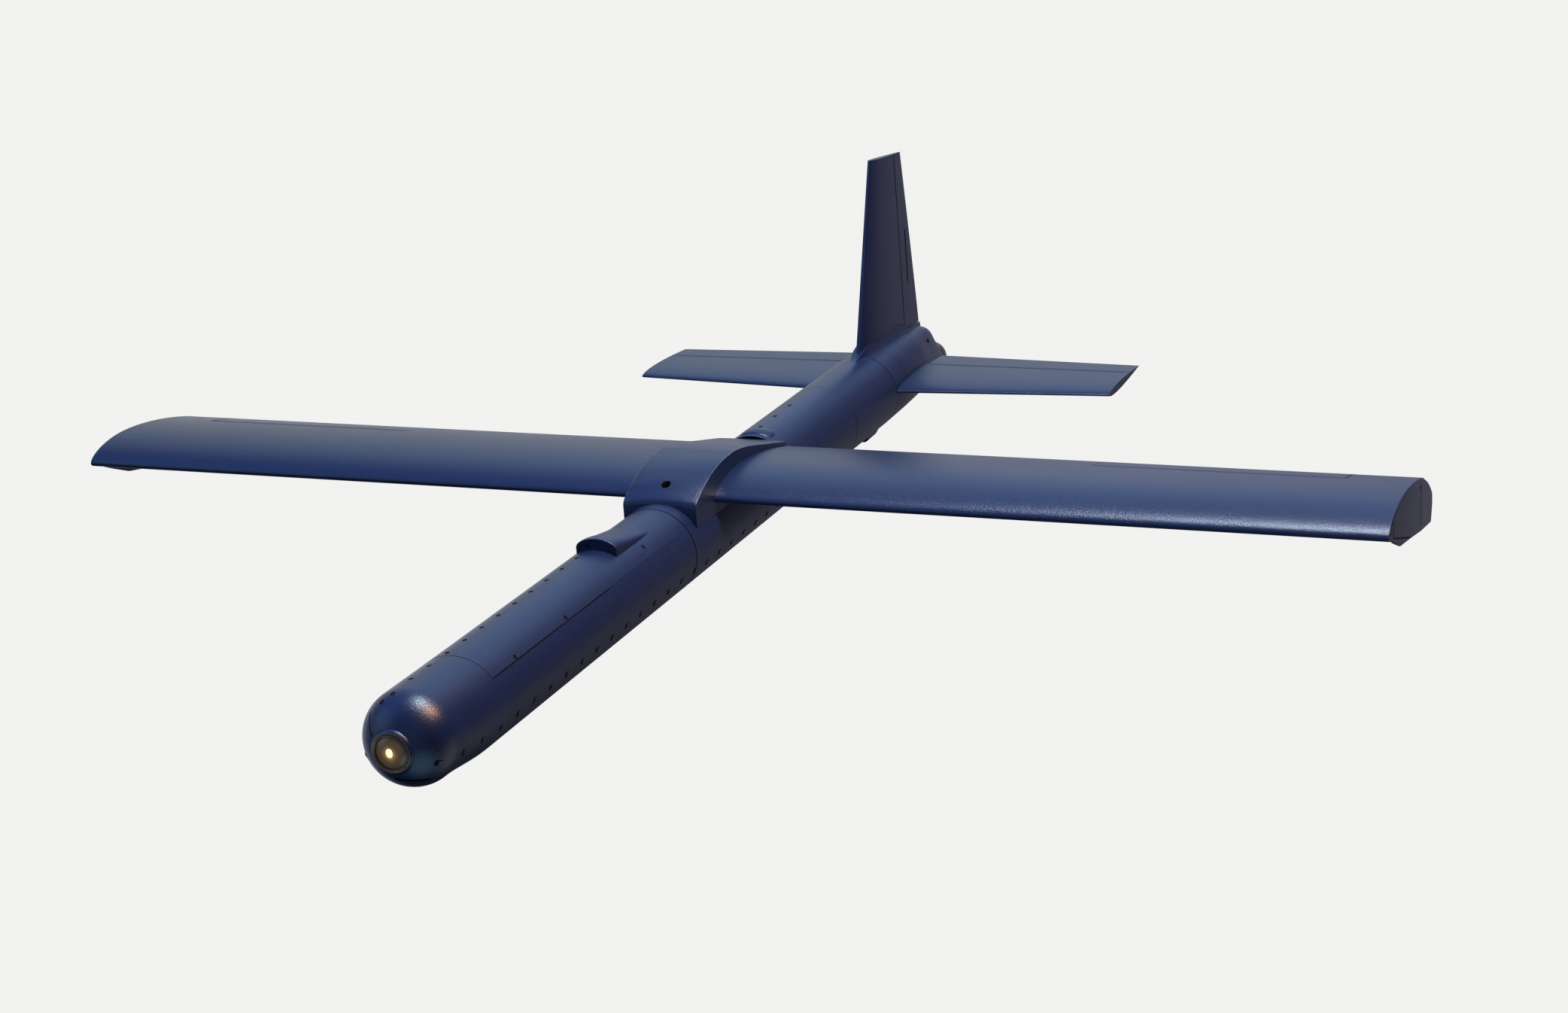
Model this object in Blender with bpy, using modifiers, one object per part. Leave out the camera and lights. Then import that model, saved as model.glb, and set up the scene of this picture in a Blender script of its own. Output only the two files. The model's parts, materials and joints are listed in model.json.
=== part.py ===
"""Fixed wing drone: tube fuselage, strapped-on straight wing, cross tail and a small jet engine.

Metres, +Z up. The nose points to -Y, the port wing to +X, and the belly shoes stand on z = 0.
"""

from math import acos, asin, cos, pi, radians, sin, sqrt

import bmesh
import bpy
from mathutils import Matrix, Vector

GAP = 0.0003            # clearance between pieces that touch
SKIN = 0.0025           # moulded composite shell

# Fuselage stations along Y, and its axis height above the ground
NOSE_Y = -1.1636
TAIL_Y = 1.173
BODY_R = 0.0762
AXIS_Z = 0.090
DOME_Y = -1.0938        # where the nose dome starts
DOME_R = 0.0728
DOME_DEPTH = 0.0668
NOSE_LIFT = 0.0047      # the dome's centre stands above the tube's axis
NOSE_JOINT = -0.9618
NOSE_SHOULDER = -0.9758     # the nose is a plain tube from its joint to here
HATCH_Y = NOSE_JOINT
WING_JOINT = -0.2634
REAR_JOINT = 0.507
TAIL_JOINT = 0.738
CONE_END = 1.131
INNER_R = BODY_R - SKIN
HATCH_SILL = AXIS_Z + BODY_R * sin(radians(36.5))

# Wing: constant chord, cambered four-digit section
SPAN = 2.400
WING_LE = -0.1556
WING_TE = 0.1681
WING_Z = AXIS_Z + 0.0616
WING_FOIL = (0.04, 0.4, 0.12)
WING_ROOT = 0.0005
TIP_PLATE = 0.012
AILERON_HINGE = 0.095
AILERON_SPAN = (0.660, 1.086)
JOINER_R = 0.010
JOINER_Y = -0.060

# Saddle strap over the wing
SADDLE_HALF = 0.0670
SADDLE_SILL = AXIS_Z + sqrt(BODY_R**2 - SADDLE_HALF**2)
SADDLE_FRONT = -0.234
SADDLE_REAR = 0.1734
BOLT_Y = -0.201
BOLT_R = 0.004

# Tailplane and fin
STAB_Z = AXIS_Z + 0.0055
STAB_TIP = 0.498
STAB_ROOT = 0.0708
STAB_LE = (0.7404, 0.7748)      # at root and tip
STAB_TE = (1.0220, 0.9984)
STAB_FOIL = (0.0, 0.4, 0.07)
ELEVATOR_HINGE = 0.936
ELEVATOR_ROOT = 0.0735
FIN_ROOT_Z = AXIS_Z + 0.0664
FIN_TOP_LE_Z = AXIS_Z + 0.4460
FIN_TOP_TE_Z = AXIS_Z + 0.4294
FIN_LE = (0.7220, 0.8484)
FIN_TE = (1.0930, 1.0314)
FIN_FOIL = (0.0, 0.4, 0.075)
RUDDER_HINGE = 0.987
HINGE_GAP = 0.0006
LIP = 0.6                       # cove lips end this many nose radii ahead of the hinge

# Engine
ENGINE_Z = AXIS_Z - 0.036
ENGINE_Y = 0.805
ENGINE_LENGTH = 0.150
ENGINE_R = 0.032
SHAFT_R = 0.003
NOZZLE_R = 0.034
BLADES = 9

ROUND_STEPS = 48
SMALL_STEPS = 24


def collection(name):
    found = bpy.data.collections.new(name)
    bpy.context.scene.collection.children.link(found)
    return found


def material(name, colour, roughness, metallic=0.0):
    made = bpy.data.materials.new(name)
    made.use_nodes = True
    shader = made.node_tree.nodes["Principled BSDF"]
    shader.inputs["Base Color"].default_value = (*colour, 1.0)
    shader.inputs["Roughness"].default_value = roughness
    shader.inputs["Metallic"].default_value = metallic
    return made


for old in list(bpy.data.objects):
    bpy.data.objects.remove(old, do_unlink=True)
PARTS = collection("fixed_wing_drone")
CUTTERS = collection("cutters")


def place(name, mesh, look=None):
    """An object in the parts collection, or a hidden cutter if it has no material."""
    made = bpy.data.objects.new(name, mesh)
    if look is None:
        CUTTERS.objects.link(made)
        made.hide_render = True
        made.display_type = "WIRE"
        return made
    PARTS.objects.link(made)
    mesh.materials.append(look)
    mesh.shade_smooth()
    mesh.set_sharp_from_angle(angle=radians(35))
    return made


def mesh_of(name, shape):
    bmesh.ops.recalc_face_normals(shape, faces=shape.faces)
    if shape.calc_volume(signed=True) < 0:
        bmesh.ops.reverse_faces(shape, faces=shape.faces)
    mesh = bpy.data.meshes.new(name)
    shape.to_mesh(mesh)
    shape.free()
    return mesh


def modifier(piece, kind, **settings):
    made = piece.modifiers.new(kind.lower(), kind)
    for key, value in settings.items():
        setattr(made, key, value)
    return made


def cut(piece, *cutters):
    for cutter in cutters:
        modifier(piece, "BOOLEAN", operation="DIFFERENCE", object=cutter, solver="EXACT")
    return piece


def common(piece, cutter):
    modifier(piece, "BOOLEAN", operation="INTERSECT", object=cutter, solver="EXACT")
    return piece


def box(name, low, high, look=None, rounding=0.0):
    shape = bmesh.new()
    bmesh.ops.create_cube(shape, size=1.0)
    low, high = Vector(low), Vector(high)
    middle = (low + high) / 2
    size = high - low
    bmesh.ops.scale(shape, vec=size, verts=shape.verts)
    bmesh.ops.translate(shape, vec=middle, verts=shape.verts)
    made = place(name, mesh_of(name, shape), look)
    if rounding:
        modifier(made, "BEVEL", width=rounding, segments=2)
    return made


def rod(name, start, end, radius, look=None, steps=SMALL_STEPS):
    """A round bar between two points."""
    start, end = Vector(start), Vector(end)
    along = end - start
    shape = bmesh.new()
    bmesh.ops.create_cone(shape, cap_ends=True, segments=steps,
                          radius1=radius, radius2=radius, depth=along.length)
    turn = along.to_track_quat("Z", "Y").to_matrix().to_4x4()
    shape.transform(Matrix.Translation((start + end) / 2) @ turn)
    return place(name, mesh_of(name, shape), look)


def loft(name, rings, look=None):
    """A closed skin through rings of equal point count, capped at both ends."""
    shape = bmesh.new()
    rows = [[shape.verts.new(point) for point in ring] for ring in rings]
    count = len(rows[0])
    for one, two in zip(rows, rows[1:]):
        for i in range(count):
            j = (i + 1) % count
            shape.faces.new((one[i], one[j], two[j], two[i]))
    shape.faces.new(rows[0])
    shape.faces.new(rows[-1])
    shape.normal_update()
    bmesh.ops.triangulate(shape, faces=shape.faces)
    return place(name, mesh_of(name, shape), look)


def turned(name, profile, look=None, height=AXIS_Z, steps=ROUND_STEPS):
    """Turns (radius, y) points about a fore-and-aft axis; one clear of the axis closes on itself."""
    area = sum(a[0] * b[1] - b[0] * a[1] for a, b in zip(profile, profile[1:] + profile[:1]))
    if area > 0:
        profile = profile[::-1]
    is_solid = min(profile[0][0], profile[-1][0]) == 0.0
    shape = bmesh.new()
    points = [shape.verts.new((radius, 0.0, y)) for radius, y in profile]
    pairs = list(zip(points, points[1:]))
    if not is_solid:
        pairs.append((points[-1], points[0]))
    for pair in pairs:
        shape.edges.new(pair)
    mesh = bpy.data.meshes.new(name)
    shape.to_mesh(mesh)
    shape.free()
    made = place(name, mesh, look)
    made.location = (0.0, 0.0, height)
    made.rotation_euler = (radians(-90), 0.0, 0.0)
    modifier(made, "SCREW", steps=steps, render_steps=steps, use_merge_vertices=True,
             merge_threshold=0.00001, use_smooth_shade=True)
    return made


def swept(name, profile, look, lift, steps=ROUND_STEPS):
    """Turns a closed (radius, y) profile about the fuselage axis and raises each ring by lift(y)."""
    shape = bmesh.new()
    rows = []
    for radius, y in profile:
        turns = [2 * pi * i / steps for i in range(steps)]
        ring = [(radius * cos(a), y, AXIS_Z + lift(y) + radius * sin(a)) for a in turns]
        rows.append([shape.verts.new(point) for point in ring])
    for one, two in zip(rows, rows[1:] + rows[:1]):
        for i in range(steps):
            j = (i + 1) % steps
            shape.faces.new((one[i], one[j], two[j], two[i]))
    return place(name, mesh_of(name, shape), look)


def tube(name, inner, outer, start, end, look=None, height=AXIS_Z, steps=ROUND_STEPS):
    profile = [(outer, end), (outer, start), (inner, start), (inner, end)]
    return turned(name, profile, look, height, steps)


def joint_ring(name, y):
    """The sleeve inside the skin that joins two fuselage sections."""
    wide, deep = 0.013, 0.0075
    return tube(name, INNER_R - deep, INNER_R - 2 * GAP, y - wide, y + wide, ALUMINIUM, steps=40)


def arc(centre, radius, start, end, count):
    """Points on a circle in a plane, angles in degrees."""
    turns = [radians(start + (end - start) * i / count) for i in range(count + 1)]
    return [(centre[0] + radius * cos(a), centre[1] + radius * sin(a)) for a in turns]


def hang(name, pivot, *pieces):
    """An empty on a joint's axis that carries the pieces that turn about it."""
    carrier = bpy.data.objects.new(name, None)
    PARTS.objects.link(carrier)
    carrier.location = pivot
    for piece in pieces:
        piece.parent = carrier
        piece.location = piece.location - Vector(pivot)
    return carrier


# Wing sections

def half_thickness(x, thick):
    return 5 * thick * (0.2969 * sqrt(x) - 0.1260 * x - 0.3516 * x**2 + 0.2843 * x**3 - 0.1015 * x**4)


def camber(x, foil):
    most, at, _ = foil
    if x < at:
        return most / at**2 * (2 * at * x - x**2)
    return most / (1 - at) ** 2 * (1 - 2 * at + 2 * at * x - x**2)


def surface(x, foil, side):
    return camber(x, foil) + side * half_thickness(x, foil[2])


def stations(end, count):
    """Chord fractions from 0 to end, close together at the leading edge."""
    return [end * (1 - cos(pi / 2 * i / count)) for i in range(count + 1)]


def whole_foil(lead, trail, foil, count=16):
    """(along, across) points round a section, from the trailing edge over the top and back."""
    chord = trail - lead
    places = stations(1.0, count)
    upper = [(lead + x * chord, surface(x, foil, 1) * chord) for x in reversed(places)]
    lower = [(lead + x * chord, surface(x, foil, -1) * chord) for x in places[1:]]
    return upper + lower


def grown(points, by):
    """The outline moved outwards; points run anticlockwise."""
    moved = []
    for i, point in enumerate(points):
        before, after = Vector(points[i - 1]), Vector(points[(i + 1) % len(points)])
        along = (after - before).normalized()
        moved.append((point[0] + along.y * by, point[1] - along.x * by))
    return moved


def hinge_of(lead, trail, hinge, foil):
    """Height of the hinge axis above the chord line, and the nose radius there."""
    chord = trail - lead
    x = (hinge - lead) / chord
    upper, lower = surface(x, foil, 1) * chord, surface(x, foil, -1) * chord
    return (upper + lower) / 2, (upper - lower) / 2


def fixed_foil(lead, trail, hinge, foil, count=14, bend=8):
    """The section ahead of a control surface, with a hollow cove round the hinge."""
    chord = trail - lead
    middle, radius = hinge_of(lead, trail, hinge, foil)
    cove = radius + HINGE_GAP
    places = stations((hinge - LIP * radius - lead) / chord, count)
    upper = [(lead + x * chord, surface(x, foil, 1) * chord) for x in reversed(places)]
    lower = [(lead + x * chord, surface(x, foil, -1) * chord) for x in places[1:]]
    lean = 90 + asin(LIP * radius / cove) * 180 / pi
    return upper + lower + arc((hinge, middle), cove, 360 - lean, lean, bend)


def moving_foil(lead, trail, hinge, foil, count=6, bend=10):
    """The section of a control surface, with a round nose about the hinge."""
    chord = trail - lead
    middle, radius = hinge_of(lead, trail, hinge, foil)
    start = (hinge - lead) / chord
    places = [start + (1 - start) * i / count for i in range(1, count + 1)]
    upper = [(lead + x * chord, surface(x, foil, 1) * chord) for x in reversed(places)]
    lower = [(lead + x * chord, surface(x, foil, -1) * chord) for x in places]
    return upper + arc((hinge, middle), radius, 90, 270, bend) + lower


def across(x, base, points):
    """A ring for a wing-like loft: along is Y, across is Z."""
    return [(x, s, base + t) for s, t in points]


# Tail body: two lobes of different size, wrapped by straight sides

TAIL_LOBES = (
    # y, lower radius, lower height, upper radius, upper height
    (TAIL_JOINT, BODY_R, 0.0, BODY_R, 0.0),
    (0.860, 0.0735, -0.001, 0.0720, 0.001),
    (0.933, 0.0690, -0.004, 0.0660, 0.004),
    (1.023, 0.0570, -0.014, 0.0460, 0.014),
    (1.075, 0.0500, -0.022, 0.0340, 0.019),
    (1.100, 0.0460, -0.027, 0.0270, 0.019),
    (1.119, 0.0420, -0.032, 0.0190, 0.016),
    (CONE_END, 0.0380, -0.036, 0.0110, 0.009),
)


def lobes(y, low_r, low_z, top_r, top_z, count=20):
    apart = max(top_z - low_z, 0.001)
    lean = asin((low_r - top_r) / apart)
    steps = [(i + 0.5) / count for i in range(count)]
    top = [lean + (pi - 2 * lean) * s for s in steps]
    low = [pi - lean + (pi + 2 * lean) * s for s in steps]
    ring = [(top_r * cos(a), y, AXIS_Z + top_z + top_r * sin(a)) for a in top]
    return ring + [(low_r * cos(a), y, AXIS_Z + low_z + low_r * sin(a)) for a in low]


def tail_rings(grow, tube_from=None, end_shift=0.0):
    """The tail body's rings, grown or shrunk, with a stretch of plain tube ahead of them from tube_from."""
    rings = [lobes(y, low_r + grow, low_z, top_r + grow, top_z)
             for y, low_r, low_z, top_r, top_z in TAIL_LOBES]
    if tube_from is not None:
        rings.insert(0, lobes(tube_from, BODY_R + grow, 0.0, BODY_R + grow, 0.0))
    last = rings[-1]
    rings[-1] = [(x, y + end_shift, z) for x, y, z in last]
    return rings


# Materials

PAINT = material("navy_paint", (0.022, 0.040, 0.115), 0.42)
BRONZE = material("bronze_anodised", (0.42, 0.29, 0.13), 0.30, 1.0)
LENS = material("amber_glass", (0.55, 0.38, 0.16), 0.06)
BLACK = material("black_plastic", (0.02, 0.02, 0.022), 0.45)
CARBON = material("carbon_tube", (0.03, 0.03, 0.033), 0.35)
PLY = material("composite_panel", (0.10, 0.11, 0.10), 0.6)
ALUMINIUM = material("machined_aluminium", (0.62, 0.63, 0.65), 0.3, 1.0)
STEEL = material("steel", (0.45, 0.45, 0.47), 0.3, 1.0)
BOLT = material("black_steel", (0.04, 0.04, 0.045), 0.4, 1.0)
NOZZLE = material("heat_tinted_steel", (0.36, 0.26, 0.13), 0.35, 1.0)
TANK = material("tank_plastic", (0.75, 0.74, 0.68), 0.4)
CELL = material("battery_wrap", (0.05, 0.12, 0.35), 0.5)
ANTENNA = material("antenna_ceramic", (0.55, 0.50, 0.42), 0.6)


# Nose

def nose_share(y):
    """0 at the shoulder, 1 where the dome starts."""
    share = min(max((NOSE_SHOULDER - y) / (NOSE_SHOULDER - DOME_Y), 0.0), 1.0)
    return share**2 * (3 - 2 * share)


def nose_lift(y):
    return NOSE_LIFT * nose_share(y)


def nose_wall(inset, window, count):
    """(radius, y) points from the joint to the window's rim, inset from the outer skin."""
    taper = [NOSE_JOINT] + [NOSE_SHOULDER + (DOME_Y - NOSE_SHOULDER) * i / 4 for i in range(4)]
    wall = [(BODY_R + (DOME_R - BODY_R) * nose_share(y) - inset, y) for y in taper]
    radius, depth = DOME_R - inset, DOME_DEPTH - inset
    turns = [acos(window / radius) * i / count for i in range(count + 1)]
    return wall + [(radius * cos(a), DOME_Y - depth * sin(a)) for a in turns]


def make_nose():
    window = 0.0340
    outer = nose_wall(0.0, window, 8)
    inner = nose_wall(SKIN, window, 4)
    swept("nose_cap", outer + inner[::-1], PAINT, nose_lift)

    centre = AXIS_Z + NOSE_LIFT
    edge_y = outer[-1][1]
    bezel = [(0.0246, edge_y - 0.0060), (0.0275, edge_y - 0.0070), (0.0315, edge_y - 0.0052),
             (0.0337, edge_y - 0.0008), (0.0337, edge_y + 0.0120), (0.0215, edge_y + 0.0120),
             (0.0215, edge_y + 0.0070), (0.0246, edge_y + 0.0070)]
    turned("lens_bezel", bezel, BRONZE, centre, 40)

    back = edge_y + 0.0067
    glass_r = 0.0243
    glass = [(0.0, back), (glass_r, back), (glass_r, edge_y - 0.0035), (0.0200, NOSE_Y + 0.0022),
             (0.0140, NOSE_Y + 0.0009), (0.0070, NOSE_Y + 0.0002), (0.0, NOSE_Y)]
    turned("nose_lens", glass, LENS, centre, 40)

    barrel = back + 0.0060
    camera = [(0.0, barrel), (0.0180, barrel), (0.0180, barrel + 0.022), (0.0230, barrel + 0.024),
              (0.0230, barrel + 0.046), (0.0120, barrel + 0.048), (0.0120, barrel + 0.062),
              (0.0, barrel + 0.062)]
    turned("camera_module", camera, BLACK, centre, SMALL_STEPS)
    joint_ring("nose_joint_ring", NOSE_JOINT)


# Forward fuselage

def make_forward_body():
    start, end = NOSE_JOINT + GAP, WING_JOINT
    wide = BODY_R + 0.01
    tub = tube("forward_tub", INNER_R, BODY_R, start, end, PAINT)
    above = box("hatch_opening", (-wide, HATCH_Y, HATCH_SILL), (wide, end + 0.01, AXIS_Z + wide))
    cut(tub, above)
    hatch = tube("forward_hatch", INNER_R, BODY_R, HATCH_Y + GAP, end, PAINT)
    inside = box("hatch_volume", (-wide, HATCH_Y - 0.01, HATCH_SILL + GAP),
                 (wide, end + 0.01, AXIS_Z + wide))
    common(hatch, inside)
    joint_ring("center_joint_ring", WING_JOINT)


def blister(name, look, rings):
    """A hump on the back from (y, half width, shoulder height, top height) rings, seated on the tube."""
    base = AXIS_Z + 0.045
    sections = []
    for y, half, shoulder, top in rings:
        rise = top - shoulder
        crown = [(half * x, y, AXIS_Z + shoulder + rise * z) for x, z in arc((0, 0), 1.0, 0, 180, 16)]
        sections.append([(half, y, base)] + crown + [(-half, y, base)])
    made = loft(name, sections, look)
    start, end = rings[0][0] - 0.05, rings[-1][0] + 0.05
    seat = turned(name + "_seat", [(0.0, start), (BODY_R + GAP, start), (BODY_R + GAP, end), (0.0, end)])
    return cut(made, seat)


def make_blisters():
    front = blister("dorsal_blister", PAINT, ((-0.4794, 0.0362, 0.0780, 0.0952),
                                              (-0.3550, 0.0362, 0.0652, 0.0745)))
    pocket = box("antenna_bay", (-0.0140, -0.462, AXIS_Z + 0.060), (0.0140, -0.434, AXIS_Z + 0.0862))
    cut(front, pocket)
    box("blister_antenna", (-0.0130, -0.461, AXIS_Z + BODY_R + 2 * GAP),
        (0.0130, -0.435, AXIS_Z + 0.0850), ANTENNA, 0.001)
    blister("rear_blister", PAINT, ((SADDLE_REAR + 0.0015, 0.0280, 0.0690, 0.0790),
                                    (SADDLE_REAR + 0.0080, 0.0320, 0.0735, 0.0865),
                                    (SADDLE_REAR + 0.0200, 0.0330, 0.0745, 0.0895),
                                    (0.2700, 0.0330, 0.0652, 0.0745)))


def make_avionics():
    tray_z = AXIS_Z - 0.030
    deck = tray_z + 0.003 + GAP
    box("avionics_tray", (-0.056, -0.930, tray_z), (0.056, -0.285, tray_z + 0.003), PLY)
    box("battery_pack", (-0.036, -0.860, deck), (0.036, -0.640, deck + 0.048), CELL, 0.004)
    box("autopilot", (-0.024, -0.585, deck), (0.024, -0.500, deck + 0.022), ALUMINIUM, 0.002)
    box("radio_module", (-0.020, -0.440, deck), (0.020, -0.370, deck + 0.016), BLACK, 0.0015)


# Centre fuselage, wing seat and saddle

SADDLE_LINE = (
    # y, middle height, edge height
    (SADDLE_FRONT, 0.0745, 0.0700), (-0.2315, 0.0815, 0.0760), (-0.2265, 0.0860, 0.0808),
    (-0.2131, 0.0935, 0.0880), (-0.2010, 0.1000, 0.0945), (-0.1901, 0.1045, 0.0988),
    (-0.1681, 0.1110, 0.1070), (-0.1520, 0.1150, 0.1115), (-0.1265, 0.1190, 0.1165),
    (-0.1059, 0.1205, 0.1189), (-0.0648, 0.1213, 0.1203), (-0.0350, 0.1182, 0.1172),
    (-0.0041, 0.1130, 0.1120), (0.0350, 0.1041, 0.1031), (0.0726, 0.0945, 0.0935),
    (0.1197, 0.0830, 0.0820), (0.1610, 0.0730, 0.0720), (SADDLE_REAR, 0.0700, 0.0690),
)


def make_wing_seat():
    wide = BODY_R + 0.02
    envelope = grown(whole_foil(WING_LE, WING_TE, WING_FOIL, 24), GAP)
    wing_space = loft("wing_space", [across(-wide, WING_Z, envelope), across(wide, WING_Z, envelope)])

    center = tube("center_fuselage", INNER_R, BODY_R, WING_JOINT + GAP, REAR_JOINT, PAINT)
    opening = box("wing_opening", (-wide, SADDLE_FRONT - GAP, SADDLE_SILL - GAP),
                  (wide, SADDLE_REAR + GAP, AXIS_Z + 0.2))
    cut(center, opening)

    rings = []
    for i in range(9):
        side = i / 4 - 1
        top = [(side * SADDLE_HALF, y, AXIS_Z + middle + (edge - middle) * side**2)
               for y, middle, edge in SADDLE_LINE]
        foot = [(side * SADDLE_HALF, y, SADDLE_SILL) for y in (SADDLE_REAR, SADDLE_FRONT)]
        rings.append(top + foot)
    saddle = loft("wing_saddle", rings, PAINT)
    under = box("saddle_underside", (-wide, WING_LE - 0.0044, AXIS_Z), (wide, WING_TE + 0.05, WING_Z + GAP))
    bolt_way = rod("bolt_way", (0, BOLT_Y, AXIS_Z), (0, BOLT_Y, AXIS_Z + 0.13), BOLT_R + GAP)
    head_way = rod("bolt_head_way", (0, BOLT_Y, AXIS_Z + 0.082), (0, BOLT_Y, AXIS_Z + 0.13), 0.0075)
    cut(saddle, wing_space, under, bolt_way, head_way)

    cradle = box("wing_cradle", (-SADDLE_HALF, WING_LE - 0.0040, SADDLE_SILL),
                 (SADDLE_HALF, SADDLE_REAR, WING_Z - GAP), PLY)
    cut(cradle, wing_space)

    bulkhead = tube("wing_bulkhead", 0.0300, INNER_R - GAP, BOLT_Y - 0.009, BOLT_Y + 0.009, ALUMINIUM)
    above = box("bulkhead_top", (-wide, BOLT_Y - 0.02, SADDLE_SILL - GAP),
                (wide, BOLT_Y + 0.02, AXIS_Z + 0.1))
    cut(bulkhead, above, bolt_way)

    bolt = rod("saddle_bolt", (0, BOLT_Y, AXIS_Z + 0.0315), (0, BOLT_Y, AXIS_Z + 0.0835), BOLT_R, BOLT)
    head = rod("bolt_head", (0, BOLT_Y, AXIS_Z + 0.0823), (0, BOLT_Y, AXIS_Z + 0.0903), 0.0065)
    modifier(bolt, "BOOLEAN", operation="UNION", object=head, solver="EXACT")
    socket = rod("bolt_socket", (0, BOLT_Y, AXIS_Z + 0.0863), (0, BOLT_Y, AXIS_Z + 0.0953), 0.0035, steps=6)
    cut(bolt, socket)


# Wings

def mirrored(points, side):
    return [(side * x, y, z) for x, y, z in points]


def side_box(name, side, x_range, y_range, z_range, look=None, rounding=0.0):
    """A box on either wing: x_range runs outboard."""
    near, far = sorted((side * x_range[0], side * x_range[1]))
    low = (near, y_range[0], z_range[0])
    high = (far, y_range[1], z_range[1])
    return box(name, low, high, look, rounding)


def make_wing(name, side):
    half = SPAN / 2
    tip = half - TIP_PLATE - GAP
    outline = whole_foil(WING_LE, WING_TE, WING_FOIL, 18)
    span = [mirrored(across(x, WING_Z, outline), side) for x in (WING_ROOT, tip)]
    wing = loft(name + "_wing", span, PAINT)

    hollow = [(y, z) for y, z in grown(outline, -SKIN) if -0.135 < y < 0.072]
    cavity = loft(name + "_wing_cavity",
                  [mirrored(across(x, WING_Z, hollow), side) for x in (-0.01, tip - 0.010)])

    middle, radius = hinge_of(WING_LE, WING_TE, AILERON_HINGE, WING_FOIL)
    cove = radius + HINGE_GAP
    lean = 90 + asin(LIP * radius / cove) * 180 / pi
    reach = 0.03
    lip = AILERON_HINGE - LIP * radius
    bay = arc((AILERON_HINGE, middle), cove, lean, 360 - lean, 8)
    bay += [(lip, -reach), (WING_TE + reach, -reach), (WING_TE + reach, reach * 1.5), (lip, reach * 1.5)]
    inner, outer = AILERON_SPAN
    ends = (inner - 0.001, outer + 0.001)
    aileron_bay = loft(name + "_aileron_bay", [mirrored(across(x, WING_Z, bay), side) for x in ends])

    hinge_z = WING_Z + middle
    pocket = (inner - 0.048, inner - 0.010)
    servo_bay = side_box(name + "_servo_bay", side, pocket, (0.0800, 0.1060),
                         (WING_Z - 0.02, WING_Z + 0.0105))
    rod_way = rod(name + "_rod_way", (side * (pocket[1] - 0.002), AILERON_HINGE, hinge_z),
                  (side * (inner + 0.01), AILERON_HINGE, hinge_z), 0.0030)
    cut(wing, cavity, aileron_bay, servo_bay, rod_way)

    surface_ring = moving_foil(WING_LE, WING_TE, AILERON_HINGE, WING_FOIL)
    aileron = loft(name + "_aileron",
                   [mirrored(across(x, WING_Z, surface_ring), side) for x in AILERON_SPAN], PAINT)
    bore = rod(name + "_aileron_bore", (side * (inner - 0.01), AILERON_HINGE, hinge_z),
               (side * (inner + 0.065), AILERON_HINGE, hinge_z), 0.0028)
    cut(aileron, bore)
    link = rod(name + "_aileron_rod", (side * (pocket[1] + GAP), AILERON_HINGE, hinge_z),
               (side * (inner + 0.064), AILERON_HINGE, hinge_z), 0.0025, STEEL)
    hang(name + "_aileron_hinge", (side * inner, AILERON_HINGE, hinge_z), aileron, link)

    side_box(name + "_aileron_servo", side, (pocket[0] + 0.001, pocket[1] - GAP), (0.0808, 0.1052),
             (WING_Z + 0.0010, WING_Z + 0.0098), BLACK, 0.0008)
    side_box(name + "_servo_cover", side, (pocket[0] + GAP, pocket[1] - GAP), (0.0803, 0.1057),
             (WING_Z - 0.0012, WING_Z + 0.0006), PLY)


TIP_OUTLINE = ((-0.1626, 0.0648), (-0.1420, 0.0760), (-0.1074, 0.0852), (-0.0498, 0.0880),
               (0.0246, 0.0880), (0.1000, 0.0770), (0.1566, 0.0655), (0.2022, 0.0456),
               (0.2320, 0.0270), (0.2490, 0.0120), (0.2510, -0.0072), (0.2370, -0.0384),
               (0.1410, -0.0228), (0.0522, -0.0048), (-0.0498, 0.0144), (-0.1146, 0.0408))


def make_tip_plate(name, side):
    inner, outer = SPAN / 2 - TIP_PLATE, SPAN / 2
    rings = [[(side * x, y, AXIS_Z + z) for y, z in TIP_OUTLINE] for x in (inner, outer)]
    plate = loft(name + "_tip_plate", rings, PAINT)
    modifier(plate, "BEVEL", width=0.003, segments=2, limit_method="ANGLE", angle_limit=radians(50))
    step = side_box(name + "_tip_step", side, (inner - 0.01, outer - 0.004), (-0.17, 0.27),
                    (AXIS_Z - 0.06, WING_Z - 0.009))
    cut(plate, step)


def make_joiner():
    middle = surface((JOINER_Y - WING_LE) / (WING_TE - WING_LE), (*WING_FOIL[:2], 0.0), 1)
    height = WING_Z + middle * (WING_TE - WING_LE)
    joiner = rod("wing_joiner", (-0.42, JOINER_Y, height), (0.42, JOINER_Y, height), JOINER_R, CARBON)
    core = rod("joiner_core", (-0.43, JOINER_Y, height), (0.43, JOINER_Y, height), JOINER_R - 0.0018)
    cut(joiner, core)


# Fuel

def make_fuel():
    radius, front, rear = 0.046, -0.160, 0.400
    end = 0.020
    nose = [(radius - end + r, front + end + y) for r, y in arc((0, 0), end, 0, -90, 3)]
    tail = [(radius - end + r, rear - end + y) for r, y in arc((0, 0), end, 90, 0, 3)]
    turned("fuel_tank", [(0.0, rear)] + tail + nose + [(0.0, front)], TANK, AXIS_Z - 0.020, 28)


# Rear fuselage, tail body and intake

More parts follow.
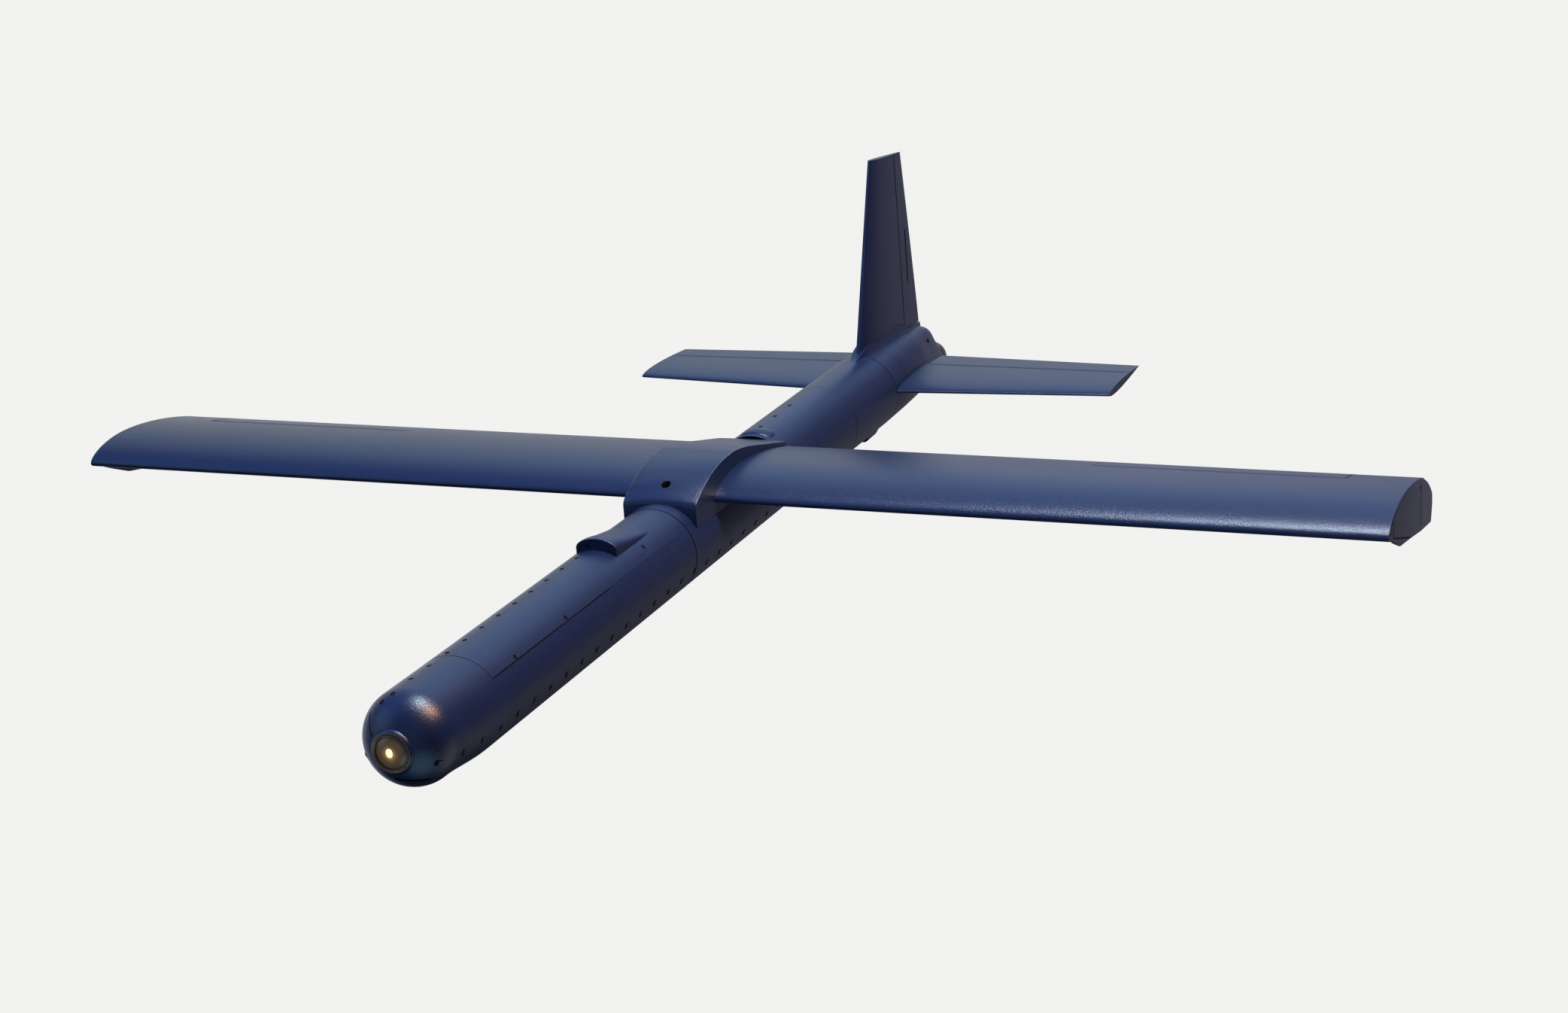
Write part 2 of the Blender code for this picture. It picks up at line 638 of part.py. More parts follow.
def make_rear_body():
    tube("rear_fuselage", INNER_R, BODY_R, REAR_JOINT + GAP, TAIL_JOINT - GAP, PAINT)
    joint_ring("rear_joint_ring", REAR_JOINT)

    cone = loft("tail_cone", tail_rings(0.0), PAINT)
    hollow = loft("tail_cone_hollow", tail_rings(-SKIN, TAIL_JOINT - 0.01, -0.004))
    nozzle_way = rod("nozzle_way", (0, CONE_END - 0.03, ENGINE_Z), (0, CONE_END + 0.03, ENGINE_Z),
                     NOZZLE_R + 0.001, steps=40)
    air_way = box("air_way", (-0.018, 0.746, AXIS_Z - 0.095), (0.018, 0.790, AXIS_Z - 0.050))
    tube_way = rod("elevator_tube_way", (-0.1, ELEVATOR_HINGE, STAB_Z), (0.1, ELEVATOR_HINGE, STAB_Z),
                   0.0045)
    spar_way = rod("spar_way", (-0.1, 0.800, STAB_Z), (0.1, 0.800, STAB_Z), 0.0043)
    rudder_way = rod("rudder_rod_way", (0, RUDDER_HINGE, AXIS_Z + 0.03),
                     (0, RUDDER_HINGE, AXIS_Z + 0.09), 0.0040)
    cut(cone, hollow, nozzle_way, air_way, tube_way, spar_way, rudder_way)


def scoop_ring(y, half, bottom):
    """A U-shaped section hanging from the belly."""
    corner = min(half, 0.010)
    left = arc((-half + corner, bottom + corner), corner, 180, 270, 4)
    right = arc((half - corner, bottom + corner), corner, 270, 360, 4)
    top = AXIS_Z - 0.050
    return [(x, y, z) for x, z in [(-half, top)] + left + right + [(half, top)]]


def make_intake():
    floor = AXIS_Z - BODY_R - 0.0120
    wall = 0.0015
    outer = [scoop_ring(0.693, 0.0260, floor), scoop_ring(0.745, 0.0255, floor + 0.0005),
             scoop_ring(0.775, 0.0220, floor + 0.0050), scoop_ring(0.800, 0.0170, floor + 0.0110)]
    inner = [scoop_ring(0.690, 0.0260 - wall, floor + wall),
             scoop_ring(0.745, 0.0255 - wall, floor + wall + 0.0005),
             scoop_ring(0.770, 0.0200, floor + 0.0075)]
    scoop = loft("belly_intake", outer, PAINT)
    channel = loft("intake_channel", inner)
    body = loft("belly_envelope", tail_rings(GAP, 0.600))
    cut(scoop, channel, body)
    return body


# Fin and rudder

def along_line(ends, z):
    share = (z - FIN_ROOT_Z) / (FIN_TOP_LE_Z - FIN_ROOT_Z)
    return ends[0] + (ends[1] - ends[0]) * share


def fin_ring(section, z, top=False, drop=None):
    lead, trail = along_line(FIN_LE, z), along_line(FIN_TE, z)
    points = section(lead, trail, RUDDER_HINGE, FIN_FOIL)
    ring = []
    for y, x in points:
        height = z
        if top:
            share = (y - FIN_LE[1]) / (FIN_TE[1] - FIN_LE[1])
            height = FIN_TOP_LE_Z + (FIN_TOP_TE_Z - FIN_TOP_LE_Z) * share
        if drop:
            height = z - drop * max(0.0, y - RUDDER_HINGE)
        ring.append((x, y, height))
    return ring


def fin_skin(lead, trail, _, foil):
    """The whole fin section, grown by the clearance to its fairing."""
    return grown(whole_foil(lead, trail, foil), GAP)


def make_fin(body):
    fin = loft("fin", [fin_ring(fixed_foil, AXIS_Z + 0.055), fin_ring(fixed_foil, FIN_TOP_LE_Z, top=True)],
               PAINT)
    cut(fin, body)
    low = FIN_ROOT_Z + 0.0015
    rudder_root = fin_ring(moving_foil, low, drop=0.09)
    rudder = loft("rudder", [rudder_root, fin_ring(moving_foil, FIN_TOP_LE_Z, top=True)], PAINT)
    bore = rod("rudder_bore", (0, RUDDER_HINGE, low - 0.02), (0, RUDDER_HINGE, low + 0.062), 0.0033)
    cut(rudder, bore)
    link = rod("rudder_rod", (0, RUDDER_HINGE, AXIS_Z + 0.0455), (0, RUDDER_HINGE, low + 0.060),
               0.0030, STEEL)
    hang("rudder_hinge", (0, RUDDER_HINGE, low), rudder, link)
    box("rudder_servo", (-0.011, 0.965, AXIS_Z + 0.008), (0.011, 1.004, AXIS_Z + 0.045), BLACK, 0.001)

    rings = []
    for y, half, top in ((0.714, 0.006, 0.0772), (0.730, 0.014, 0.0800), (0.762, 0.024, 0.0905),
                         (0.850, 0.030, 0.0960), (0.940, 0.029, 0.0900), (0.970, 0.027, 0.0850)):
        rings.append(fillet_ring(y, half, top))
    fairing = loft("fin_fairing", rings, PAINT)
    space = loft("fin_space", [fin_ring(fin_skin, AXIS_Z + 0.040), fin_ring(fin_skin, AXIS_Z + 0.200)])
    cut(fairing, space, body)


def fillet_ring(y, half, top):
    """A section with two hollow flanks that rise to a narrow crest."""
    low = AXIS_Z + 0.045
    crest = min(0.012, half * 0.5)
    foot = AXIS_Z + sqrt(BODY_R**2 - half**2) - 0.002
    rise = AXIS_Z + top - foot
    right = []
    for i in range(6):
        turn = pi / 2 * i / 5
        right.append((half - (half - crest) * sin(turn), y, foot + rise * (1 - cos(turn))))
    left = [(-x, y, z) for x, y, z in reversed(right)]
    return [(half, y, low)] + right + left + [(-half, y, low)]


# Tailplane

def stab_ring(section, x, side):
    share = (x - STAB_ROOT) / (STAB_TIP - STAB_ROOT)
    lead = STAB_LE[0] + (STAB_LE[1] - STAB_LE[0]) * share
    trail = STAB_TE[0] + (STAB_TE[1] - STAB_TE[0]) * share
    points = section(lead, trail, ELEVATOR_HINGE, STAB_FOIL)
    return mirrored(across(x, STAB_Z, points), side)


def make_tailplane(name, side, body):
    stab = loft(name + "_stabilizer", [stab_ring(fixed_foil, x, side) for x in (0.050, STAB_TIP)], PAINT)
    spar_bore = rod(name + "_spar_bore", (0, 0.800, STAB_Z), (side * 0.2403, 0.800, STAB_Z), 0.0043)
    cut(stab, body, spar_bore)
    elevator = loft(name + "_elevator", [stab_ring(moving_foil, x, side) for x in (ELEVATOR_ROOT, STAB_TIP)],
                    PAINT)
    bore = rod(name + "_elevator_bore", (0, ELEVATOR_HINGE, STAB_Z),
               (side * 0.1403, ELEVATOR_HINGE, STAB_Z), 0.0028)
    cut(elevator, bore)
    return elevator


def make_tail(body):
    port = make_tailplane("port", 1, body)
    starboard = make_tailplane("starboard", -1, body)
    rod("stabilizer_spar", (-0.24, 0.800, STAB_Z), (0.24, 0.800, STAB_Z), 0.0040, CARBON)
    torque = rod("elevator_tube", (-0.14, ELEVATOR_HINGE, STAB_Z), (0.14, ELEVATOR_HINGE, STAB_Z),
                 0.0025, STEEL)
    hang("elevator_hinge", (0, ELEVATOR_HINGE, STAB_Z), port, starboard, torque)
    servo = box("elevator_servo", (-0.014, 0.912, AXIS_Z - 0.003), (0.014, 0.952, AXIS_Z + 0.034),
                BLACK, 0.001)
    servo_bore = rod("servo_bore", (-0.03, ELEVATOR_HINGE, STAB_Z), (0.03, ELEVATOR_HINGE, STAB_Z), 0.0030)
    cut(servo, servo_bore)


# Engine

def wheel_ring(y, hub, tip, turn):
    """A star section: one narrow tooth for each blade."""
    points = []
    for blade in range(BLADES):
        middle = 2 * pi * blade / BLADES + turn
        for radius, offset in ((hub, -0.17), (tip, -0.05), (tip, 0.05), (hub, 0.17)):
            angle = middle + offset
            points.append((radius * cos(angle), y, ENGINE_Z + radius * sin(angle)))
    return points


def wheel(name, rings, look):
    made = loft(name, rings, look)
    start, end = rings[0][0][1], rings[-1][0][1]
    bore = rod(name + "_bore", (0, start - 0.01, ENGINE_Z), (0, end + 0.01, ENGINE_Z), SHAFT_R + GAP)
    return cut(made, bore)


def make_engine():
    start, end = ENGINE_Y, ENGINE_Y + ENGINE_LENGTH
    wall = 0.0015
    web = start + 0.046
    tunnel_in, tunnel_out = 0.0083, 0.0105
    case = [(0.0240, start), (0.0280, start + 0.004), (ENGINE_R, start + 0.030), (ENGINE_R, end - 0.012),
            (0.0262, end), (0.0262 - wall, end), (ENGINE_R - wall, end - 0.012),
            (ENGINE_R - wall, web + 0.004), (tunnel_out, web + 0.004), (tunnel_out, end - 0.042),
            (tunnel_in, end - 0.042), (tunnel_in, web - 0.010), (tunnel_out, web - 0.010),
            (tunnel_out, web), (ENGINE_R - wall, web), (ENGINE_R - wall, start + 0.030),
            (0.0265, start + 0.006), (0.0225, start)]
    made = turned("engine_case", case, ALUMINIUM, ENGINE_Z, 32)
    for i in range(6):
        angle = 2 * pi * i / 6
        x, z = 0.0200 * cos(angle), ENGINE_Z + 0.0200 * sin(angle)
        port = rod("air_port_%d" % (i + 1), (x, web - 0.005, z), (x, web + 0.010, z), 0.0060, steps=12)
        cut(made, port)

    shaft = rod("engine_shaft", (0, start + 0.006, ENGINE_Z), (0, end - 0.014, ENGINE_Z),
                SHAFT_R, STEEL)
    compressor = wheel("compressor_wheel", [wheel_ring(start + 0.010, 0.0070, 0.0195, 0.0),
                                            wheel_ring(start + 0.018, 0.0095, 0.0200, 0.25),
                                            wheel_ring(start + 0.026, 0.0160, 0.0225, 0.45)], ALUMINIUM)
    turbine = wheel("turbine_wheel", [wheel_ring(end - 0.034, 0.0140, 0.0235, 0.0),
                                      wheel_ring(end - 0.027, 0.0140, 0.0235, 0.20),
                                      wheel_ring(end - 0.020, 0.0140, 0.0235, 0.45)], STEEL)
    hang("engine_axis", (0, start, ENGINE_Z), shaft, compressor, turbine)
    for name, y in (("front_bearing", web - 0.009), ("rear_bearing", end - 0.050)):
        tube(name, SHAFT_R + GAP, tunnel_in - GAP, y, y + 0.007, STEEL, ENGINE_Z, SMALL_STEPS)

    pipe_y = end + GAP
    thick = 0.0012
    pipe = [(0.0275, pipe_y), (0.0275, 1.020), (0.0300, 1.080), (NOZZLE_R, CONE_END - 0.010),
            (NOZZLE_R, CONE_END + 0.022), (0.0315, TAIL_Y - 0.003), (0.0300, TAIL_Y)]
    inside = [(r - thick, y) for r, y in reversed(pipe)]
    turned("exhaust_nozzle", pipe + inside, NOZZLE, ENGINE_Z, 40)


# Launch shoes

def make_shoes(body):
    belly = turned("shoe_seat", [(0.0, -1.0), (BODY_R + GAP, -1.0), (BODY_R + GAP, 0.7), (0.0, 0.7)])
    for name, y in (("front_shoe", -0.520), ("rear_shoe", 0.330)):
        shoe = box(name, (-0.008, y - 0.035, 0.0), (0.008, y + 0.035, 0.030), ALUMINIUM)
        modifier(shoe, "BEVEL", width=0.0015, segments=2)
        cut(shoe, belly)


make_nose()
make_forward_body()
make_blisters()
make_avionics()
make_wing_seat()
for wing_name, wing_side in (("port", 1), ("starboard", -1)):
    make_wing(wing_name, wing_side)
    make_tip_plate(wing_name, wing_side)
make_joiner()
make_fuel()
make_rear_body()
tail_body = make_intake()
make_fin(tail_body)
make_tail(tail_body)
make_engine()
make_shoes(tail_body)

# The fore-and-aft middle of the whole object lies on the origin
for piece in bpy.data.objects:
    if piece.parent is None:
        piece.location.y -= (NOSE_Y + TAIL_Y) / 2
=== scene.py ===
"""Looks of the fixed wing drone: refined shells, panel seams, screws, paint and a pale studio."""

import json
from math import acos, asin, cos, pi, radians, sin, sqrt

import bmesh
import bpy
from mathutils import Matrix, Vector


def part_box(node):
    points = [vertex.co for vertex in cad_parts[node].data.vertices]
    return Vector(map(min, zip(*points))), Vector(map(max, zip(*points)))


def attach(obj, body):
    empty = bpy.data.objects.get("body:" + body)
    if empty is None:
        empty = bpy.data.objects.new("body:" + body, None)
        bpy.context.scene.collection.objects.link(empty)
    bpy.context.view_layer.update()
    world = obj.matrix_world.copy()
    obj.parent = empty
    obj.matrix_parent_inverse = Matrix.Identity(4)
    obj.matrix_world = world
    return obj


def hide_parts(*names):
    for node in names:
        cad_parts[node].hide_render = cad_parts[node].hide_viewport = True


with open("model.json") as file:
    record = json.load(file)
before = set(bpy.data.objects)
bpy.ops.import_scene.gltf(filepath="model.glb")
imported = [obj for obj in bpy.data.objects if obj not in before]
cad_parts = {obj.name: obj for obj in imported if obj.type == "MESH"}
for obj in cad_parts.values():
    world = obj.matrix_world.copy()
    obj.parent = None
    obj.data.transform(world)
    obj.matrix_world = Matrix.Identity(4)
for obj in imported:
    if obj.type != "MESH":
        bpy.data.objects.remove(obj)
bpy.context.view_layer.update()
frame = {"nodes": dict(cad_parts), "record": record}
NODES = frame["nodes"]
BODY_OF = {node: body for body, nodes in frame["record"]["behaviour"]["bodies"].items() for node in nodes}
SLOT_OF = {entry["node"]: entry["material_slot"] for entry in frame["record"]["subparts"]}


# Driving sizes, read from the frame

def span_of(node, axis):
    low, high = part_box(node)
    return low[axis], high[axis]


X, Y, Z = 0, 1, 2
SIDES = (("port", 1), ("starboard", -1))
TUBE_LOW, TUBE_HIGH = span_of("rear_fuselage", Z)
BODY_R = (TUBE_HIGH - TUBE_LOW) / 2
AXIS_Z = (TUBE_HIGH + TUBE_LOW) / 2
SKIN = 0.0025
NOSE_JOINT = span_of("nose_cap", Y)[1]
WING_JOINT = span_of("forward_tub", Y)[1]
REAR_JOINT = span_of("rear_fuselage", Y)[0]
TAIL_JOINT = span_of("tail_cone", Y)[0]
SADDLE_FRONT, SADDLE_REAR = span_of("wing_saddle", Y)
SADDLE_HALF = span_of("wing_saddle", X)[1]
WING_LE, WING_TE = span_of("starboard_wing", Y)
SPAN = 2 * span_of("port_tip_plate", X)[1]
NOSE_TIP = span_of("nose_lens", Y)[0]
NOSE_LIFT = 0.0047
NOSE_SHOULDER = NOSE_JOINT - 0.014
DOME_Y = NOSE_JOINT - 0.132
DOME_R = 0.0728
DOME_DEPTH = 0.0668
WINDOW_R = 0.034
NOSE_AXIS = AXIS_Z + NOSE_LIFT
GLASS_R = 0.0243
PAINTED_R = 0.0305    # the window ring is painted outside this
PUPIL_Z = NOSE_AXIS + 0.0012
PUPIL_STRETCH = 1.25


# Small tools

def linked(name, data):
    """A new object in the scene."""
    made = bpy.data.objects.new(name, data)
    bpy.context.scene.collection.objects.link(made)
    return made


def mesh_from(name, shape, *looks):
    """A mesh from a bmesh, which is then gone."""
    mesh = bpy.data.meshes.new(name)
    shape.to_mesh(mesh)
    shape.free()
    for look in looks:
        mesh.materials.append(look)
    return mesh


DETAILED = set()    # the CAD nodes that pieces made here stand for


def new_object(name, shape, looks, body, replaced=(), sharp=35.0):
    """A finished piece from a bmesh: shaded smooth, with its looks, riding on its body."""
    bmesh.ops.recalc_face_normals(shape, faces=shape.faces)
    if shape.calc_volume(signed=True) < 0:
        bmesh.ops.reverse_faces(shape, faces=shape.faces)
    mesh = mesh_from(name, shape, *(looks if isinstance(looks, list) else [looks]))
    mesh.shade_smooth()
    mesh.set_sharp_from_angle(angle=radians(sharp))
    piece = linked(name, mesh)
    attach(piece, body)
    if replaced:
        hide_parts(*replaced)
        DETAILED.update(replaced)
    return piece


def skin(name, shape, node, sharp, looks=None):
    """A piece in place of one CAD node, painted unless it has another look."""
    return new_object(name, shape, looks or PAINT, BODY_OF[node], [node], sharp)


def detail(name, shape, slot="black_plastic", look=None, sharp=60.0, body="airframe"):
    """A piece that stands for no CAD node of its own, black unless it has another look."""
    new_object(name, shape, look or DARK, body, sharp=sharp)


def rounded(piece, width, segments, angle):
    """Rounds the edges that are sharper than an angle."""
    made = piece.modifiers.new("rounding", "BEVEL")
    made.width = width
    made.segments = segments
    made.limit_method = "ANGLE"
    made.angle_limit = radians(angle)
    made.harden_normals = True


def refined(node, look):
    """A welded, smooth copy of a CAD node with its edges rounded."""
    shape = bmesh.new()
    shape.from_mesh(NODES[node].data)
    bmesh.ops.remove_doubles(shape, verts=shape.verts, dist=1e-6)
    bmesh.ops.dissolve_limit(shape, angle_limit=radians(0.3), verts=shape.verts, edges=shape.edges)
    rounded(skin(node + ".skin", shape, node, 32, look), 0.0005, 2, 32)


def add_loft(shape, rings, closed=False):
    """Adds a skin through rings of equal point count, joined end to end or capped at both ends."""
    rows = [[shape.verts.new(point) for point in ring] for ring in rings]
    count = len(rows[0])
    following = rows[1:] + rows[:1] if closed else rows[1:]
    for one, two in zip(rows, following):
        for i in range(count):
            j = (i + 1) % count
            shape.faces.new((one[i], one[j], two[j], two[i]))
    if not closed:
        shape.faces.new(rows[0])
        shape.faces.new(rows[-1])


def lofted(rings):
    shape = bmesh.new()
    add_loft(shape, rings)
    return shape


def turned(profile, height, steps=96, lift=lambda y: 0.0):
    """A bmesh turned about a fore-and-aft axis from a closed (radius, y) profile."""
    turns = [2 * pi * i / steps for i in range(steps)]
    rings = [[(r * cos(a), y, height + lift(y) + r * sin(a)) for a in turns] for r, y in profile]
    shape = bmesh.new()
    add_loft(shape, rings, closed=True)
    bmesh.ops.remove_doubles(shape, verts=shape.verts, dist=1e-7)
    return shape


def rod(start, end, radius, height, steps):
    """A bmesh cylinder that lies fore and aft."""
    return turned([(0.0, start), (radius, start), (radius, end), (0.0, end)], height, steps)


def evenly(start, end, count):
    return [start + (end - start) * i / count for i in range(count + 1)]


def smooth_step(share):
    share = min(max(share, 0.0), 1.0)
    return share**2 * (3 - 2 * share)


def spline(rows, at):
    """A monotone cubic through (position, value, value, ...) rows, read at one position."""
    if at <= rows[0][0]:
        return rows[0][1:]
    if at >= rows[-1][0]:
        return rows[-1][1:]
    k = max(i for i, row in enumerate(rows) if row[0] <= at)
    last = len(rows) - 1

    def rise(i, c):
        return (rows[i + 1][c] - rows[i][c]) / (rows[i + 1][0] - rows[i][0])

    def slope(i, c):
        if i in (0, last):
            return rise(min(i, last - 1), c)
        before, after = rise(i - 1, c), rise(i, c)
        return 2 * before * after / (before + after) if before * after > 0 else 0.0

    width = rows[k + 1][0] - rows[k][0]
    t = (at - rows[k][0]) / width
    values = []
    for c in range(1, len(rows[0])):
        a, b = rows[k][c], rows[k + 1][c]
        m, n = slope(k, c) * width, slope(k + 1, c) * width
        values.append(a * (2 * t**3 - 3 * t**2 + 1) + m * (t**3 - 2 * t**2 + t)
                      + b * (3 * t**2 - 2 * t**3) + n * (t**3 - t**2))
    return values


def filleted(points, reach):
    """A closed outline with its corners rounded from reach(point) along their sides."""
    made = []
    for i, point in enumerate(points):
        here = Vector(point)
        before, after = Vector(points[i - 1]), Vector(points[(i + 1) % len(points)])
        back, on = before - here, after - here
        start = here + back.normalized() * min(reach(point), 0.45 * back.length)
        end = here + on.normalized() * min(reach(point), 0.45 * on.length)
        for t in evenly(0, 1, 4):
            made.append(tuple(start * (1 - t) ** 2 + here * 2 * t * (1 - t) + end * t**2))
    return made


def moved_in(points, by):
    """A closed outline moved inwards."""
    middle = sum((Vector(point) for point in points), Vector((0, 0))) / len(points)
    made = []
    for i, point in enumerate(points):
        along = (Vector(points[(i + 1) % len(points)]) - Vector(points[i - 1])).normalized()
        inward = Vector((-along.y, along.x))
        if inward.dot(middle - Vector(point)) < 0:
            inward = -inward
        made.append(tuple(Vector(point) + by * inward))
    return made


def add_line(shape, path, width, proud=0.00012, deep=0.0004):
    """Adds a narrow strip that follows (point, normal) pairs on a surface."""
    rings = []
    for i, (at, normal) in enumerate(path):
        along = path[min(i + 1, len(path) - 1)][0] - path[max(i - 1, 0)][0]
        side = along.cross(normal).normalized() * width / 2
        taper = 0.35 if i in (0, len(path) - 1) else 1.0
        top, low = at + normal * proud, at - normal * deep
        rings.append([top - side * taper, top + side * taper, low + side * taper, low - side * taper])
    add_loft(shape, rings)


def add_turned(shape, at, normal, profile, steps=20):
    """Adds a small round fitting from (radius, height, corners) rings; corners gives a socket's sides."""
    turn = Vector(normal).to_track_quat("Z", "Y").to_matrix()
    rings = []
    for radius, height, corners in profile:
        ring = []
        for k in range(steps):
            a = 2 * pi * k / steps
            r = radius
            if corners:
                wedge = 2 * pi / corners
                r = radius * cos(wedge / 2) / cos(a % wedge - wedge / 2)
            ring.append(Vector(at) + turn @ Vector((r * cos(a), r * sin(a), height)))
        rings.append(ring)
    add_loft(shape, rings)


# Materials

class Nodes:
    """Small helpers for the node tree of a material or world."""

    def __init__(self, owner):
        owner.use_nodes = True
        self.tree = owner.node_tree

    def feed(self, socket, value):
        if isinstance(value, bpy.types.NodeSocket):
            self.tree.links.new(value, socket)
        else:
            socket.default_value = value

    def node(self, kind, inputs, **settings):
        """A new node's outputs; each of its inputs is fed by another node's output or holds a value."""
        made = self.tree.nodes.new("ShaderNode" + kind)
        for key, value in settings.items():
            setattr(made, key, value)
        for key, value in inputs.items():
            self.feed(made.inputs[key], value)
        return made.outputs


class Look(Nodes):
    """A Principled material."""

    def __init__(self, name, roughness=0.5, metallic=0.0):
        self.material = bpy.data.materials.new(name)
        super().__init__(self.material)
        self.shader = self.tree.nodes["Principled BSDF"]
        self.place = self.node("TexCoord", {})["Object"]
        self.finished({"Roughness": roughness, "Metallic": metallic})

    def noise(self, scale, detail=3.0, roughness=0.55, stretch=(1, 1, 1)):
        place = self.node("Mapping", {"Vector": self.place, "Scale": stretch})["Vector"]
        inputs = {"Vector": place, "Scale": scale, "Detail": detail, "Roughness": roughness}
        return self.node("TexNoise", inputs)["Fac"]

    def ramp(self, factor, stops):
        made = self.tree.nodes.new("ShaderNodeValToRGB")
        stops = [(position, (*colour, 1)) for position, colour in stops]
        for i in (0, -1):
            made.color_ramp.elements[i].position, made.color_ramp.elements[i].color = stops[i]
        for position, colour in stops[1:-1]:
            made.color_ramp.elements.new(position).color = colour
        self.feed(made.inputs["Fac"], factor)
        return made.outputs["Color"]

    def span(self, factor, low, high, start=0.0, end=1.0):
        inputs = {"Value": factor, "From Min": start, "From Max": end, "To Min": low, "To Max": high}
        return self.node("MapRange", inputs)["Result"]

    def mix(self, factor, one, two):
        one, two = [(*colour, 1) if isinstance(colour, tuple) else colour for colour in (one, two)]
        return self.node("Mix", {"Factor": factor, 6: one, 7: two}, data_type="RGBA")[2]

    def math(self, operation, *values):
        return self.node("Math", dict(enumerate(values)), operation=operation)[0]

    def bump(self, height, strength, distance, onto=None):
        inputs = {"Height": height, "Strength": strength, "Distance": distance}
        if onto:
            inputs["Normal"] = onto
        return self.node("Bump", inputs)["Normal"]

    def finished(self, inputs):
        for key, value in inputs.items():
            self.feed(self.shader.inputs[key], value)
        return self.material


def navy_paint():
    """Satin navy paint: slight tone drift, a fine metallic grain and a little orange peel."""
    look = Look("navy_paint")
    tone = look.noise(2.2, 4.0)
    patch = look.noise(9.0, 5.0, 0.6)
    grain = look.noise(520.0, 2.0)
    base = look.ramp(tone, [(0.3, (0.0052, 0.0144, 0.06)), (0.7, (0.0064, 0.0165, 0.07))])
    worn = look.mix(look.span(patch, 0.0, 0.4, 0.55, 0.8), base, (0.009, 0.02, 0.067))
    peel = look.bump(look.noise(320.0, 2.0), 0.08, 0.0006)
    return look.finished({
        "Base Color": look.mix(look.span(grain, 0.0, 0.5, 0.62, 0.8), worn, (0.024, 0.048, 0.13)),
        "Roughness": look.math("ADD", look.span(patch, 0.29, 0.35), look.span(grain, -0.08, 0.08)),
        "Specular IOR Level": 0.62,
        "Specular Tint": (0.8, 0.9, 1.0, 1.0),
        "Normal": look.bump(grain, 0.42, 0.001, peel),
    })


def metal(name, colour, roughness, stretch=(1, 1, 1), scale=240.0):
    """A machined or brushed metal with its scratches along one axis."""
    look = Look(name, metallic=1.0)
    brush = look.noise(scale, 4.0, 0.6, stretch)
    low = tuple(c * 0.82 for c in colour)
    return look.finished({
        "Base Color": look.mix(look.span(look.noise(14.0, 4.0), 0.0, 1.0, 0.35, 0.7), colour, low),
        "Roughness": look.span(brush, roughness - 0.08, roughness + 0.08),
        "Normal": look.bump(brush, 0.05, 0.0003),
    })


def plastic(name, colour, roughness, scale=900.0, gloss=0.5):
    """A moulded plastic with a fine spark-eroded grain."""
    look = Look(name)
    grain = look.noise(scale, 3.0)
    high = tuple(min(1.0, c * 1.35 + 0.004) for c in colour)
    return look.finished({
        "Base Color": look.mix(look.span(look.noise(20.0, 3.0), 0.0, 0.6, 0.4, 0.8), colour, high),
        "Roughness": look.span(grain, roughness - 0.07, roughness + 0.07),
        "Normal": look.bump(grain, 0.12, 0.0003),
        "Specular IOR Level": gloss,
    })


def woven(name, dark, light, pitch):
    """A twill weave, such as carbon cloth under resin."""
    look = Look(name)
    waves = []
    for direction, phase in (("DIAGONAL", 0.0), ("X", 1.5)):
        inputs = {"Vector": look.place, "Scale": 1 / pitch / 3, "Distortion": 0.4, "Phase Offset": phase}
        waves.append(look.node("TexWave", inputs, bands_direction=direction)["Fac"])
    both = look.math("MULTIPLY", *waves)
    return look.finished({
        "Base Color": look.mix(both, dark, light),
        "Roughness": look.span(both, 0.3, 0.5),
        "Normal": look.bump(both, 0.3, 0.0004),
        "Coat Weight": 0.5,
    })


def amber_glass():
    """The camera's window: amber glass with a painted glow, bright over the pupil and dark at the rim."""
    look = Look("amber_glass", roughness=0.06)
    parts = look.node("SeparateXYZ", {0: look.place})
    height = look.math("SUBTRACT", parts["Z"], NOSE_AXIS)
    flat = look.node("CombineXYZ", {0: parts["X"], 1: height})[0]
    reach = look.node("VectorMath", {0: flat}, operation="LENGTH")["Value"]
    cloud = look.math("MULTIPLY_ADD", look.noise(90.0, 3.0), 0.12, look.span(reach, 0.0, 1.0, 0.0, GLASS_R))
    # Painted light: this ramp makes the glass glow (emission) and also tints its base colour, so the window
    # looks lit though no lamp is in it.
    glow = look.ramp(cloud, [(0.3, (0.72, 0.46, 0.2)), (0.42, (0.36, 0.225, 0.095)),
                             (0.6, (0.17, 0.11, 0.055)), (0.85, (0.115, 0.08, 0.046)),
                             (1.02, (0.05, 0.04, 0.028))])
    return look.finished({
        "Emission Color": glow,
        "Emission Strength": 0.4,
        "Base Color": look.mix(0.7, glow, (0.03, 0.02, 0.01)),
        "Coat Weight": 0.25,
        "Coat Roughness": 0.04,
        "Roughness": look.span(look.noise(300.0, 2.0), 0.12, 0.2),
    })


def painted_pupil_glow():
    """A painted glow for the bright middle of the camera, which is no lamp: cream, warmer towards its rim."""
    look = Look("painted_pupil_glow", roughness=0.3)
    facing = look.node("LayerWeight", {"Blend": 0.25})["Facing"]
    cloud = look.noise(400.0, 2.0)
    cream = look.mix(look.span(cloud, 0.0, 0.5), (1.0, 0.86, 0.58), (1.0, 0.74, 0.42))
    tint = look.mix(facing, cream, (0.85, 0.52, 0.25))
    return look.finished({
        "Emission Color": tint,
        "Emission Strength": 1.0,
        "Base Color": tint,
        "Roughness": look.span(cloud, 0.25, 0.4),
    })


